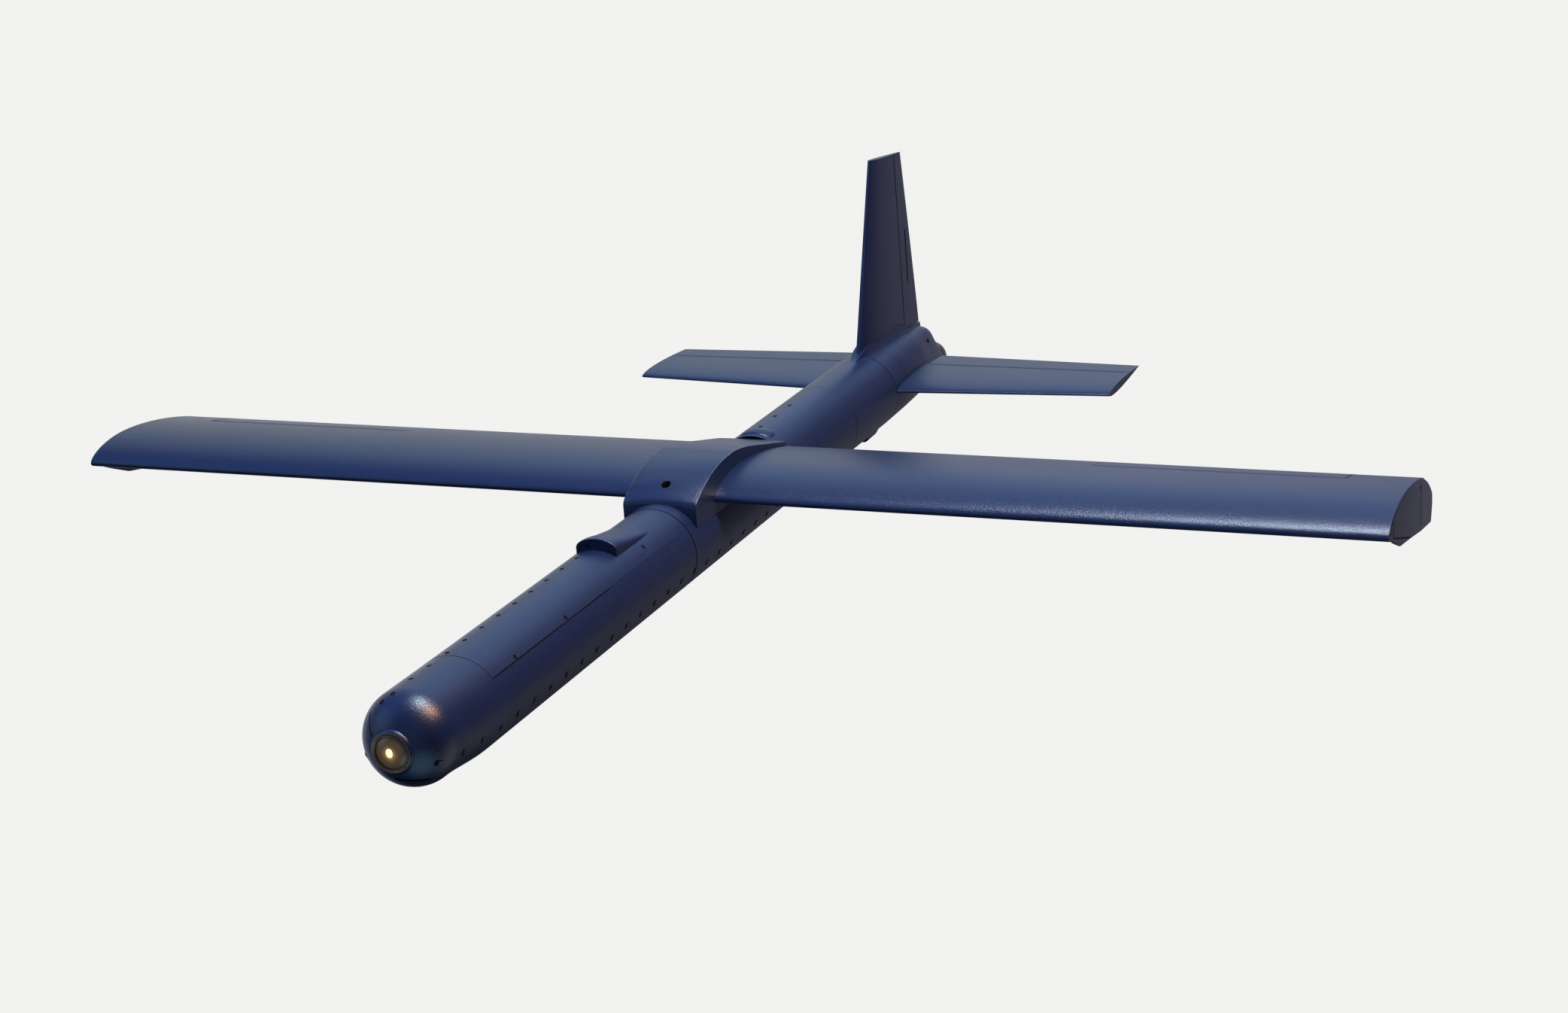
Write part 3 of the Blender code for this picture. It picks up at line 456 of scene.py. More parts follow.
def painted_edge_highlight():
    """A painted highlight: paint drawn pale along an edge, in short patches."""
    look = Look("painted_edge_highlight", roughness=0.4)
    patch = look.noise(45.0, 4.0, 0.7)
    return look.finished({
        "Base Color": look.ramp(patch, [(0.35, (0.09, 0.105, 0.17)), (0.65, (0.28, 0.29, 0.35))]),
        "Roughness": look.span(patch, 0.3, 0.5),
        "Normal": look.bump(look.noise(700.0, 2.0), 0.2, 0.0004),
    })


def heat_tinted():
    """Nozzle steel: straw and bronze tints in bands towards the hot end, with fine scratches."""
    look = Look("heat_tinted_steel", metallic=1.0)
    parts = look.node("SeparateXYZ", {0: look.place})
    along = look.span(parts["Y"], 0.0, 1.0, *span_of("exhaust_nozzle", Y))
    stain = look.math("MULTIPLY_ADD", look.noise(70.0, 4.0), 0.25, along)
    scratch = look.noise(500.0, 3.0, 0.6, (1, 0.08, 1))
    return look.finished({
        "Base Color": look.ramp(stain, [(0.35, (0.42, 0.38, 0.34)), (0.75, (0.4, 0.29, 0.17)),
                                        (0.95, (0.33, 0.25, 0.19)), (1.1, (0.27, 0.24, 0.25))]),
        "Roughness": look.span(scratch, 0.28, 0.46),
        "Normal": look.bump(scratch, 0.08, 0.0003),
    })


PAINT = navy_paint()
DARK = plastic("seam_black", (0.0035, 0.004, 0.006), 0.85, gloss=0.05)
BRONZE = metal("bronze_anodised", (0.34, 0.22, 0.14), 0.55, scale=400.0)
GLASS = amber_glass()
PAINTED_GLOW = painted_pupil_glow()
EDGE_HIGHLIGHT = painted_edge_highlight()
SLOT_LOOKS = {
    "navy_paint": PAINT,
    "bronze": BRONZE,
    "lens": GLASS,
    "black_plastic": plastic("black_plastic", (0.018, 0.018, 0.02), 0.45),
    "carbon_tube": woven("carbon_tube", (0.012, 0.012, 0.013), (0.055, 0.055, 0.06), 0.003),
    "composite_panel": woven("composite_panel", (0.035, 0.038, 0.034), (0.095, 0.1, 0.09), 0.002),
    "aluminium": metal("machined_aluminium", (0.6, 0.61, 0.63), 0.3, (1, 0.1, 1)),
    "steel": metal("ground_steel", (0.46, 0.46, 0.48), 0.26, (0.1, 1, 1)),
    "black_steel": metal("black_steel", (0.045, 0.047, 0.055), 0.38, scale=600.0),
    "nozzle_steel": heat_tinted(),
    "tank_plastic": plastic("tank_plastic", (0.68, 0.66, 0.58), 0.42, 300.0),
    "battery_wrap": plastic("battery_wrap", (0.03, 0.085, 0.26), 0.34, 120.0),
    "antenna_ceramic": plastic("antenna_ceramic", (0.5, 0.45, 0.37), 0.58),
}


# Camera, floor and light

CAMERA_AT = (1.9175, -4.2399, 1.5415)
CAMERA_AZIMUTH = radians(22.91)
CAMERA_ELEVATION = radians(17.47)
CAMERA_ROLL = radians(-3.87)
LENS = 63.6


def make_camera():
    data = bpy.data.cameras.new("camera")
    data.lens = LENS
    data.sensor_width = 36.0
    data.clip_end = 200.0
    camera = linked("camera", data)
    a, e = CAMERA_AZIMUTH, CAMERA_ELEVATION
    back = Vector((sin(a) * cos(e), -cos(a) * cos(e), sin(e)))
    right = Vector((0, 0, 1)).cross(back).normalized()
    up = back.cross(right)
    c, s = cos(CAMERA_ROLL), sin(CAMERA_ROLL)
    axes = (c * right + s * up, c * up - s * right, back)
    camera.matrix_world = Matrix.Translation(CAMERA_AT) @ Matrix(axes).transposed().to_4x4()
    bpy.context.scene.camera = camera


FLOOR_Z = -1.6
FLOOR_REACH = 90.0
DOME_REACH = 80.0


def make_stage():
    """A plain pale floor, well below the object so that its shadow is faint, and a wide dome over it."""
    look = Look("stage", roughness=0.9)
    pale = look.mix(look.noise(0.15, 2.0), (0.88, 0.882, 0.868), (0.892, 0.894, 0.882))
    look.tree.nodes.remove(look.shader)
    glow = look.node("Emission", {"Color": pale})[0]
    look.feed(look.tree.nodes["Material Output"].inputs["Surface"], glow)
    floor = bmesh.new()
    bmesh.ops.create_grid(floor, x_segments=8, y_segments=8, size=FLOOR_REACH)
    dome = bmesh.new()
    bmesh.ops.create_uvsphere(dome, u_segments=64, v_segments=32, radius=DOME_REACH)
    below = [vert for vert in dome.verts if vert.co.z < -0.01]
    bmesh.ops.delete(dome, geom=below, context="VERTS")
    for name, shape in (("floor", floor), ("dome", dome)):
        stage = linked(name, mesh_from(name, shape, look.material))
        stage.location = (0, 0, FLOOR_Z)
        stage.visible_glossy = False
        stage.visible_diffuse = False
        stage.visible_shadow = name == "floor"


def area_light(name, at, size, power, colour):
    data = bpy.data.lights.new(name, "AREA")
    data.shape = "DISK"
    data.size = size
    data.energy = power
    data.color = colour
    light = linked(name, data)
    light.location = at
    light.rotation_euler = (Vector(LIT_POINT) - Vector(at)).to_track_quat("-Z", "Y").to_euler()


LIT_POINT = (0, 0, 0.1)
AMBIENT = (0.02, 0.022, 0.026)
SOFT_BOX_EDGE = 0.8    # cosine of a soft box's half angle
SOFT_BOXES = (
    # name, towards, colour
    ("top_rear_port", (0.36, 0.47, 0.81), (0.36, 0.39, 0.38)),
    ("top_starboard", (-0.65, -0.12, 0.75), (0.17, 0.35, 1.05)),
    ("top_rear", (-0.2, 0.74, 0.64), (0.26, 0.45, 0.78)),
    ("front_starboard", (-0.82, -0.48, 0.31), (0.46, 0.66, 0.8)),
    ("rear_starboard", (-0.56, 0.8, 0.19), (0.32, 0.33, 0.23)),
    ("rear", (-0.05, 1.0, -0.08), (0.22, 0.21, 0.28)),
    ("low_starboard", (-0.79, 0.55, -0.25), (0.56, 0.58, 0.72)),
    ("low_rear_port", (0.68, 0.36, -0.64), (0.54, 0.5, 0.52)),
    ("low_front", (0.36, -0.56, -0.75), (0.59, 0.95, 1.17)),
    ("front", (0.2, -0.96, 0.2), (0.16, 0.24, 0.42)),
)


def make_world():
    """A dim room with soft boxes all round the object."""
    world = bpy.data.worlds.new("studio")
    bpy.context.scene.world = world
    nodes = Nodes(world)
    place = nodes.node("TexCoord", {})["Generated"]
    total = nodes.node("RGB", {})[0]
    total.default_value = (*AMBIENT, 1)
    for name, towards, colour in SOFT_BOXES:
        inputs = {0: place, 1: Vector(towards).normalized()}
        facing = nodes.node("VectorMath", inputs, operation="DOT_PRODUCT", name=name)["Value"]
        inputs = {"Value": facing, "From Min": SOFT_BOX_EDGE, "From Max": 1.0}
        spread = nodes.node("MapRange", inputs, interpolation_type="SMOOTHERSTEP")["Result"]
        total = nodes.node("VectorMath", {0: colour, 1: spread, 2: total}, operation="MULTIPLY_ADD")["Vector"]
    nodes.feed(nodes.tree.nodes["Background"].inputs["Color"], total)


def make_light():
    area_light("key", (0.67, -0.1, 4.0), 1.0, 146.0, (0.82, 0.89, 1.0))
    area_light("warm", (2.2, -0.3, 3.4), 0.9, 150.0, (1.0, 0.47, 0.22))
    view = bpy.context.scene.view_settings
    view.view_transform = "Standard"
    view.look = "None"


make_camera()
make_stage()
make_world()
make_light()


# Nose

def nose_share(y):
    return smooth_step((NOSE_SHOULDER - y) / (NOSE_SHOULDER - DOME_Y))


def nose_lift(y):
    return NOSE_LIFT * nose_share(y)


def nose_wall(inset, count):
    """(radius, y) points from the joint to the window's rim."""
    wall = [(BODY_R - inset - 0.0005, NOSE_JOINT), (BODY_R - inset, NOSE_JOINT - 0.0005)]
    for i in range(13):
        y = NOSE_SHOULDER + (DOME_Y - NOSE_SHOULDER) * i / 13
        wall.append((BODY_R + (DOME_R - BODY_R) * nose_share(y) - inset, y))
    radius, depth = DOME_R - inset, DOME_DEPTH - inset
    turns = [acos(WINDOW_R / radius) * i / count for i in range(count + 1)]
    return wall + [(radius * cos(a), DOME_Y - depth * sin(a)) for a in turns]


WINDOW_RING = (
    # radius, behind the rim of the nose shell
    (0.0335, 0.012), (0.0337, -0.0004), (0.0334, -0.0012), (0.0326, -0.0028), (0.0312, -0.0048),
    (0.03, -0.006), (0.0292, -0.0064), (0.0284, -0.0062), (0.0278, -0.0052), (0.027, -0.005),
    (0.0264, -0.0064), (0.0257, -0.0067), (0.0251, -0.0062), (0.0247, -0.003), (0.0247, 0.007),
    (0.0215, 0.007), (0.0215, 0.012),
)


def make_nose():
    outer, inner = nose_wall(0.0, 36), nose_wall(SKIN, 10)
    skin("nose_shell", turned(outer + inner[::-1], AXIS_Z, 144, lift=nose_lift), "nose_cap", 40)
    rim = outer[-1][1]
    flange = turned([(radius, rim + behind) for radius, behind in WINDOW_RING], NOSE_AXIS)
    for face in flange.faces:
        middle = face.calc_center_median()
        if (middle - Vector((0, middle.y, NOSE_AXIS))).length > PAINTED_R:
            face.material_index = 1
    skin("window_ring", flange, "lens_bezel", 50, [BRONZE, PAINT])

    back = rim + 0.0067
    edge = rim - 0.004
    dome = [(0.0, back), (GLASS_R, back), (GLASS_R, edge)]
    crown = NOSE_TIP + 0.001
    for i in range(1, 16):
        lean = pi / 2 * i / 16
        dome.append((GLASS_R * cos(lean), edge - (edge - crown) * sin(lean)))
    dome.append((0.0, crown))
    skin("window_glass", turned(dome, NOSE_AXIS, 72), "nose_lens", 50, GLASS)

    # The pupil: a small dome that glows with painted light.
    pupil = [(0.0, crown + 0.003), (0.0052, crown + 0.003), (0.0057, crown + 0.0003),
             (0.0049, crown - 0.0004), (0.0032, crown - 0.0008), (0.0, NOSE_TIP)]
    shape = turned(pupil, PUPIL_Z, 40)
    for vertex in shape.verts:
        vertex.co.z = PUPIL_Z + PUPIL_STRETCH * (vertex.co.z - PUPIL_Z)
    detail("painted_glow_pupil", shape, "lens", PAINTED_GLOW, 35)


make_nose()


# Wings and ailerons

WING_FOIL = (0.04, 0.4, 0.12)
WING_Z = AXIS_Z + 0.0616
TIP_PLATE = 0.012
HINGES = {joint["name"]: Vector(joint["pos_m"]) for joint in frame["record"]["behaviour"]["joints"]}
HINGE_GAP = 0.0006
LIP = 0.6


def half_thickness(x, thick):
    return 5 * thick * (0.2969 * sqrt(x) - 0.126 * x - 0.3516 * x**2 + 0.2843 * x**3 - 0.1015 * x**4)


def surface(x, foil, side):
    most, at, thick = foil
    if x < at:
        camber = most / at**2 * (2 * at * x - x**2)
    else:
        camber = most / (1 - at) ** 2 * (1 - 2 * at + 2 * at * x - x**2)
    return camber + side * half_thickness(x, thick)


def foil_points(lead, trail, foil, places):
    """Upper points from the last place to the first and lower points back, as (along, across)."""
    chord = trail - lead
    upper = [(lead + x * chord, surface(x, foil, 1) * chord) for x in reversed(places)]
    lower = [(lead + x * chord, surface(x, foil, -1) * chord) for x in places]
    return upper, lower


def foil_sides(lead, trail, foil, start, end, count):
    """The foil's points between two shares of its chord, closer together at the front."""
    places = [start + (end - start) * (1 - cos(pi / 2 * i / count)) for i in range(count + 1)]
    return foil_points(lead, trail, foil, places)


def turn_points(centre, radius, start, end, count):
    turns = [radians(turn) for turn in evenly(start, end, count)]
    return [(centre[0] + radius * cos(a), centre[1] + radius * sin(a)) for a in turns]


def foil_at_hinge(lead, trail, hinge, foil):
    chord = trail - lead
    x = (hinge - lead) / chord
    upper, lower = surface(x, foil, 1) * chord, surface(x, foil, -1) * chord
    return (upper + lower) / 2, (upper - lower) / 2


def hollow(hinge, middle, radius):
    """The hollow back of a fixed section round its control surface's nose."""
    cove = radius + HINGE_GAP
    lean = 90 + asin(LIP * radius / cove) * 180 / pi
    return turn_points((hinge, middle), cove, 360 - lean, lean, 16)


def fixed_outline(lead, trail, hinge, foil, count=40):
    """The section ahead of a control surface, hollow round its hinge."""
    middle, radius = foil_at_hinge(lead, trail, hinge, foil)
    end = (hinge - LIP * radius - lead) / (trail - lead)
    upper, lower = foil_sides(lead, trail, foil, 0.0, end, count)
    return upper + lower[1:] + hollow(hinge, middle, radius)


def moving_outline(lead, trail, hinge, foil, count=16):
    """The section of a control surface, with a round nose about its hinge."""
    middle, radius = foil_at_hinge(lead, trail, hinge, foil)
    places = evenly((hinge - lead) / (trail - lead), 1, count)
    upper, lower = foil_points(lead, trail, foil, places[1:])
    return upper + turn_points((hinge, middle), radius, 90, 270, 20) + lower


def add_slab(shape, outline, places, side, height):
    """Adds an outline drawn out along the span."""
    add_loft(shape, [[(side * x, y, height + z) for y, z in outline] for x in places])


def make_wing(name, side):
    inner, outer = span_of("port_aileron", X)
    root = span_of("port_wing", X)[0]
    hinge = HINGES[name + "_aileron_hinge"].y
    upper, lower = foil_sides(WING_LE, WING_TE, WING_FOIL, 0.0, 1.0, 44)
    whole = upper + lower[1:]
    fixed = fixed_outline(WING_LE, WING_TE, hinge, WING_FOIL)
    shape = bmesh.new()
    for outline, start, end in ((whole, root, inner - 0.001), (fixed, inner - 0.001, outer + 0.001),
                                (whole, outer + 0.001, SPAN / 2 - 0.001)):
        add_slab(shape, outline, (start, end), side, WING_Z)
    skin(name + "_wing_skin", shape, name + "_wing", 40)

    moving = moving_outline(WING_LE, WING_TE, hinge, WING_FOIL)
    shape = bmesh.new()
    add_slab(shape, moving, (inner, outer), side, WING_Z)
    rounded(skin(name + "_aileron_skin", shape, name + "_aileron", 40), 0.0003, 2, 50)

    chord = WING_TE - WING_LE
    up = Vector((0, 0, 1))

    def top(x, y):
        """The wing's upper point and direction at a place."""
        return Vector((side * x, y, WING_Z + surface((y - WING_LE) / chord, WING_FOIL, 1) * chord)), up

    shape = bmesh.new()
    ahead = hinge - 0.012
    add_line(shape, [top(x, ahead) for x in evenly(inner, outer, 12)], 0.0012)
    add_line(shape, [top(outer + 0.0005, y) for y in evenly(ahead, WING_TE - 0.002, 12)], 0.0026)
    detail(name + "_wing_lines", shape)


TIP_OUTLINE = ((-0.1626, 0.0648), (-0.142, 0.076), (-0.1074, 0.0852), (-0.0498, 0.088),
               (0.0246, 0.088), (0.1, 0.077), (0.1566, 0.0655), (0.2022, 0.0456),
               (0.232, 0.027), (0.249, 0.012), (0.251, -0.0072), (0.237, -0.0384),
               (0.141, -0.0228), (0.0522, -0.0048), (-0.0498, 0.0144), (-0.1146, 0.0408))


def clipped(points, floor):
    """The part of a closed outline above a height."""
    kept = []
    for i, (y, z) in enumerate(points):
        last_y, last_z = points[i - 1]
        if (z > floor) != (last_z > floor):
            share = (floor - last_z) / (z - last_z)
            kept.append((last_y + (y - last_y) * share, floor))
        if z > floor:
            kept.append((y, z))
    return kept


def make_tip_plate(name, side):
    node = name + "_tip_plate"
    shift = span_of(node, Y)[0] - min(y for y, _ in TIP_OUTLINE)
    points = [(y + shift, AXIS_Z + z) for y, z in TIP_OUTLINE]
    rim = filleted(points, lambda point: 0.03 if point[1] > AXIS_Z + 0.02 else 0.0035)
    outer = SPAN / 2
    shape = bmesh.new()
    steps = ((0.004, 0.0), (0.003, 0.0), (0.0016, 0.0004), (0.0006, 0.0014), (0.0, 0.0032))
    add_loft(shape, [[(side * (outer - x), y, z) for y, z in moved_in(rim, by)] for x, by in steps])
    block = clipped(moved_in(rim, 0.0002), WING_Z - 0.009)
    add_slab(shape, block, (outer - TIP_PLATE, outer - 0.0038), side, 0.0)
    skin(name + "_tip_skin", shape, node, 28)


for name, side in SIDES:
    make_wing(name, side)
    make_tip_plate(name, side)


# Saddle and blisters

SILL = AXIS_Z + sqrt(BODY_R**2 - SADDLE_HALF**2)
SADDLE_TOP = (
    # behind the front, middle height, edge height
    (0.0, 0.0745, 0.07), (0.0025, 0.0815, 0.076), (0.0075, 0.086, 0.0808), (0.0209, 0.0935, 0.088),
    (0.033, 0.1, 0.0945), (0.0439, 0.1045, 0.0988), (0.0659, 0.111, 0.107), (0.082, 0.115, 0.1115),
    (0.1075, 0.119, 0.1165), (0.1281, 0.1205, 0.1189), (0.1692, 0.1213, 0.1203), (0.199, 0.1182, 0.1172),
    (0.2299, 0.113, 0.112), (0.269, 0.1041, 0.1031), (0.3066, 0.0945, 0.0935), (0.3537, 0.083, 0.082),
    (0.395, 0.073, 0.072), (0.4074, 0.07, 0.069),
)
BOLT_Y = sum(span_of("saddle_bolt", Y)) / 2
WELL_R = 0.0078
SHAFT_R = 0.0045
FIT = 0.0005


def carved(piece, cutters, sharp):
    """The piece with other solids cut out of it; the cutters are then gone."""
    for cutter in cutters:
        made = piece.modifiers.new("carving", "BOOLEAN")
        made.operation = "DIFFERENCE"
        made.object = cutter
        made.solver = "EXACT"
    ready = piece.evaluated_get(bpy.context.evaluated_depsgraph_get())
    mesh = bpy.data.meshes.new_from_object(ready)
    piece.modifiers.clear()
    piece.data = mesh
    mesh.set_sharp_from_angle(angle=radians(sharp))
    for cutter in cutters:
        bpy.data.objects.remove(cutter)


def cutter(shape, look=None):
    """A plain solid for carving."""
    bmesh.ops.recalc_face_normals(shape, faces=shape.faces)
    mesh = mesh_from("cutter", shape, look or PAINT)
    mesh.shade_smooth()
    return linked("cutter", mesh)


def upright(y, profile):
    """A bmesh solid about a vertical axis in the middle plane from (radius, z) rings."""
    shape = bmesh.new()
    add_turned(shape, Vector((0, y, 0)), Vector((0, 0, 1)), [(r, z, 0) for r, z in profile], 40)
    return shape


def make_saddle():
    dense = []
    for i in range(97):
        along = (SADDLE_REAR - SADDLE_FRONT) * (i / 96) ** 1.6
        dense.append((SADDLE_FRONT + along, *spline(SADDLE_TOP, along)))
    chord = WING_TE - WING_LE
    seat = []
    for i in range(28):
        share = cos(pi / 2 * i / 27) ** 2
        seat.append((WING_LE + share * chord, WING_Z + surface(share, WING_FOIL, 1) * chord + FIT))
    low = WING_Z + FIT
    ahead = WING_LE - 0.004
    under = [(SADDLE_REAR, low), (WING_TE + 0.002, low)] + seat[1:]
    under += [(ahead, low), (ahead, SILL), (SADDLE_FRONT, SILL)]
    rings = []
    for i in range(25):
        share = i / 12 - 1
        edge = max(0.0, abs(share) - 0.985) / 0.015
        top = [(share * SADDLE_HALF, y, AXIS_Z + middle + (rim - middle) * share**2 - 0.0004 * edge)
               for y, middle, rim in dense]
        rings.append(top + [(share * SADDLE_HALF, y, z) for y, z in under])
    saddle = skin("saddle_strap", lofted(rings), "wing_saddle", 30, [PAINT, DARK])
    bore_low = AXIS_Z + 0.0826
    well = upright(BOLT_Y, [(WELL_R, bore_low), (WELL_R, AXIS_Z + 0.094), (0.01, AXIS_Z + 0.13)])
    shaft = upright(BOLT_Y, [(SHAFT_R, SILL - 0.02), (SHAFT_R, AXIS_Z + 0.09)])
    carved(saddle, [cutter(well, DARK), cutter(shaft, DARK)], sharp=30)
    rounded(saddle, 0.0014, 3, 40)

    # Pale strips along the saddle's top edges: a painted highlight, wider on the port side.
    shape = bmesh.new()
    for side, share in ((1, 0.42), (-1, 0.34)):
        path = []
        for y, _, rim in dense[4:int(97 * sqrt(share))]:
            at = Vector((side * (SADDLE_HALF - 0.0007), y, AXIS_Z + rim - 0.0006))
            path.append((at, Vector((side * 0.6, -0.25, 0.75)).normalized()))
        add_line(shape, path, 0.001 if side > 0 else 0.0007, 0.0003, 0.0006)
    detail("saddle_edge_highlight", shape, "navy_paint", EDGE_HIGHLIGHT)


def make_blister(node, table):
    """A hump on the back from (behind its front, half width, shoulder, top) rows, seated on the skin."""
    front = span_of(node, Y)[0]
    base = AXIS_Z + 0.045
    length = table[-1][0]
    rings = []
    for i in range(41):
        along = length * (i / 40) ** 2.2
        half, shoulder, top = spline(table, along)
        crown = [(half * cos(pi * k / 48), sin(pi * k / 48)) for k in range(49)]
        ring = [(x, front + along, AXIS_Z + shoulder + (top - shoulder) * z) for x, z in crown]
        rings.append([(half, front + along, base)] + ring + [(-half, front + along, base)])
    piece = skin(node + "_shell", lofted(rings), node, 30)
    seat = rod(front - 0.05, front + length + 0.05, BODY_R + 0.0002, AXIS_Z, 144)
    carved(piece, [cutter(seat)], sharp=28)


make_saddle()
make_blister("dorsal_blister",
             ((0.0, 0.0353, 0.0772, 0.0942), (0.0006, 0.0358, 0.0776, 0.0947),
              (0.0016, 0.0362, 0.0778, 0.095), (0.06, 0.0362, 0.0718, 0.0852),
              (0.1244, 0.0362, 0.0652, 0.0745)))
make_blister("rear_blister",
             ((0.0, 0.029, 0.054, 0.069), (0.006, 0.0315, 0.059, 0.0745),
              (0.015, 0.0335, 0.063, 0.0795), (0.027, 0.034, 0.064, 0.081),
              (0.055, 0.032, 0.06, 0.0755), (0.0951, 0.031, 0.058, 0.072)))


# Tail body, fin and tailplane

TAIL_TABLE = (
    # behind the joint, low radius, low height, top radius, top height
    (0.0, 0.0762, 0.0, 0.0762, 0.0), (0.122, 0.0735, -0.001, 0.072, 0.001),
    (0.195, 0.069, -0.004, 0.066, 0.004), (0.285, 0.057, -0.014, 0.046, 0.014),
    (0.337, 0.05, -0.022, 0.034, 0.019), (0.362, 0.046, -0.027, 0.027, 0.019),
    (0.381, 0.042, -0.032, 0.019, 0.016), (0.393, 0.038, -0.036, 0.011, 0.009),
)


def lobes(y, low_r, low_z, top_r, top_z):
    """A ring round two lobes of different size and the straight sides between them."""
    apart = max(top_z - low_z, 0.001)
    lean = asin(max(-1.0, min(1.0, (low_r - top_r) / apart)))
    steps = [(i + 0.5) / 44 for i in range(44)]
    top = [lean + (pi - 2 * lean) * s for s in steps]
    low = [pi - lean + (pi + 2 * lean) * s for s in steps]
    ring = [(top_r * cos(a), y, AXIS_Z + top_z + top_r * sin(a)) for a in top]
    return ring + [(low_r * cos(a), y, AXIS_Z + low_z + low_r * sin(a)) for a in low]


def tail_ring(along, grow):
    low_r, low_z, top_r, top_z = spline(TAIL_TABLE, along)
    return lobes(TAIL_JOINT + along, low_r + grow, low_z, top_r + grow, top_z)


def make_tail_body():
    end = TAIL_TABLE[-1][0]
    rings = [tail_ring(end * (1 - (1 - i / 40) ** 1.5), 0.0) for i in range(41)]
    cone = skin("tail_body", lofted(rings), "tail_cone", 35)
    rings = [tail_ring((end - 0.004) * i / 16, -SKIN) for i in range(17)]
    rings.insert(0, [(x, y - 0.01, z) for x, y, z in rings[0]])
    low, high = span_of("exhaust_nozzle", Z)
    back = TAIL_JOINT + end
    way = rod(back - 0.03, back + 0.03, (high - low) / 2 + 0.001, (low + high) / 2, 96)
    carved(cone, [cutter(lofted(rings)), cutter(way)], sharp=35)


FIN_ROOT_Z = AXIS_Z + 0.0664
FIN_LOW_Z = AXIS_Z + 0.06
FIN_TOP_LE_Z = span_of("fin", Z)[1]
FIN_TOP_TE_Z = FIN_TOP_LE_Z - 0.0166
FIN_FOIL = (0, 0.4, 0.075)
RUDDER_HINGE = HINGES["rudder_hinge"].y
FIN_LE = (RUDDER_HINGE - 0.265, RUDDER_HINGE - 0.1386)
FIN_TE = (RUDDER_HINGE + 0.106, RUDDER_HINGE + 0.0444)
FIN_LEVELS = 14
FIN_FACE = (0.0054, 0.0028)    # half width of the flat front at the root and the top


def between(pair, share):
    return pair[0] + (pair[1] - pair[0]) * share


def fin_edges(z):
    share = (z - FIN_ROOT_Z) / (FIN_TOP_LE_Z - FIN_ROOT_Z)
    return between(FIN_LE, share), between(FIN_TE, share)


def fin_height(y, z, drop=0.0):
    """Heights run from level at the root to the sloping top."""
    share = (z - FIN_LOW_Z) / (FIN_TOP_LE_Z - FIN_LOW_Z)
    slope = (FIN_TOP_TE_Z - FIN_TOP_LE_Z) / (FIN_TE[1] - FIN_LE[1])
    return z + slope * (y - FIN_LE[1]) * share**3 - drop * max(0.0, y - RUDDER_HINGE) * (1 - share) ** 6


def fin_level(i):
    """A level's height, front, back and the half width of its flat front."""
    z = evenly(FIN_LOW_Z, FIN_TOP_LE_Z, FIN_LEVELS)[i]
    return z, *fin_edges(z), evenly(*FIN_FACE, FIN_LEVELS)[i]


def face_share(chord, width):
    """How far back, as a share of the chord, the section is as wide as its flat front."""
    share = 0.0
    while half_thickness(share, FIN_FOIL[2]) * chord < width:
        share += 0.0002
    return share


def make_fin():
    rings = []
    for i in range(FIN_LEVELS + 1):
        z, lead, trail, width = fin_level(i)
        rings.append([(x, y, fin_height(y, z)) for y, x in fin_section(lead, trail, width)])
    rounded(skin("fin_skin", lofted(rings), "fin", 24), 0.0004, 2, 24)

    rings = []
    for z in evenly(FIN_ROOT_Z + 0.0015, FIN_TOP_LE_Z, FIN_LEVELS):
        section = moving_outline(*fin_edges(z), RUDDER_HINGE, FIN_FOIL, 20)
        rings.append([(x, y, fin_height(y, z, 0.09)) for y, x in section])
    rounded(skin("rudder_skin", lofted(rings), "rudder", 35), 0.0004, 2, 50)


def fin_section(lead, trail, width):
    """The fixed part of the fin's section, behind a narrow flat front face."""
    chord = trail - lead
    middle, radius = foil_at_hinge(lead, trail, RUDDER_HINGE, FIN_FOIL)
    start = face_share(chord, width)
    end = (RUDDER_HINGE - LIP * radius - lead) / chord
    upper, lower = foil_sides(lead, trail, FIN_FOIL, start, end, 40)
    face = [(lead + 0.001, 0.7 * width), (lead + 0.0006, 0.0), (lead + 0.001, -0.7 * width)]
    return upper + face + lower + hollow(RUDDER_HINGE, middle, radius)


FAIRING = (
    # behind the fin's root front, half width, crest height over the axis
    (-0.03, 0.01, 0.0758), (-0.022, 0.013, 0.0764), (-0.011, 0.0165, 0.0784), (0.0, 0.0205, 0.0818),
    (0.018, 0.025, 0.088), (0.04, 0.0275, 0.093), (0.08, 0.03, 0.0955), (0.128, 0.0315, 0.096),
    (0.19, 0.0305, 0.0925), (0.235, 0.029, 0.087), (0.263, 0.0275, 0.081),
)


def skin_height(y, x):
    """The tail body's height over the axis at a half-width x."""
    top_r, top_z = spline(TAIL_TABLE, max(y - TAIL_JOINT, 0.0))[2:]
    return top_z + sqrt(max(top_r**2 - x**2, 0.0))


def fillet_ring(y, half, crest_z, crest):
    """A section with two hollow flanks that rise to a narrow crest."""
    foot = AXIS_Z + skin_height(y, half) - 0.0012
    low = foot - 0.006
    rise = AXIS_Z + crest_z - foot
    right = []
    for turn in evenly(0.0, pi / 2, 14):
        right.append((half - (half - crest) * sin(turn), y, foot + rise * (1 - cos(turn))))
    left = [(-x, y, z) for x, _, z in reversed(right)]
    return [(half, y, low)] + right + left + [(-half, y, low)]


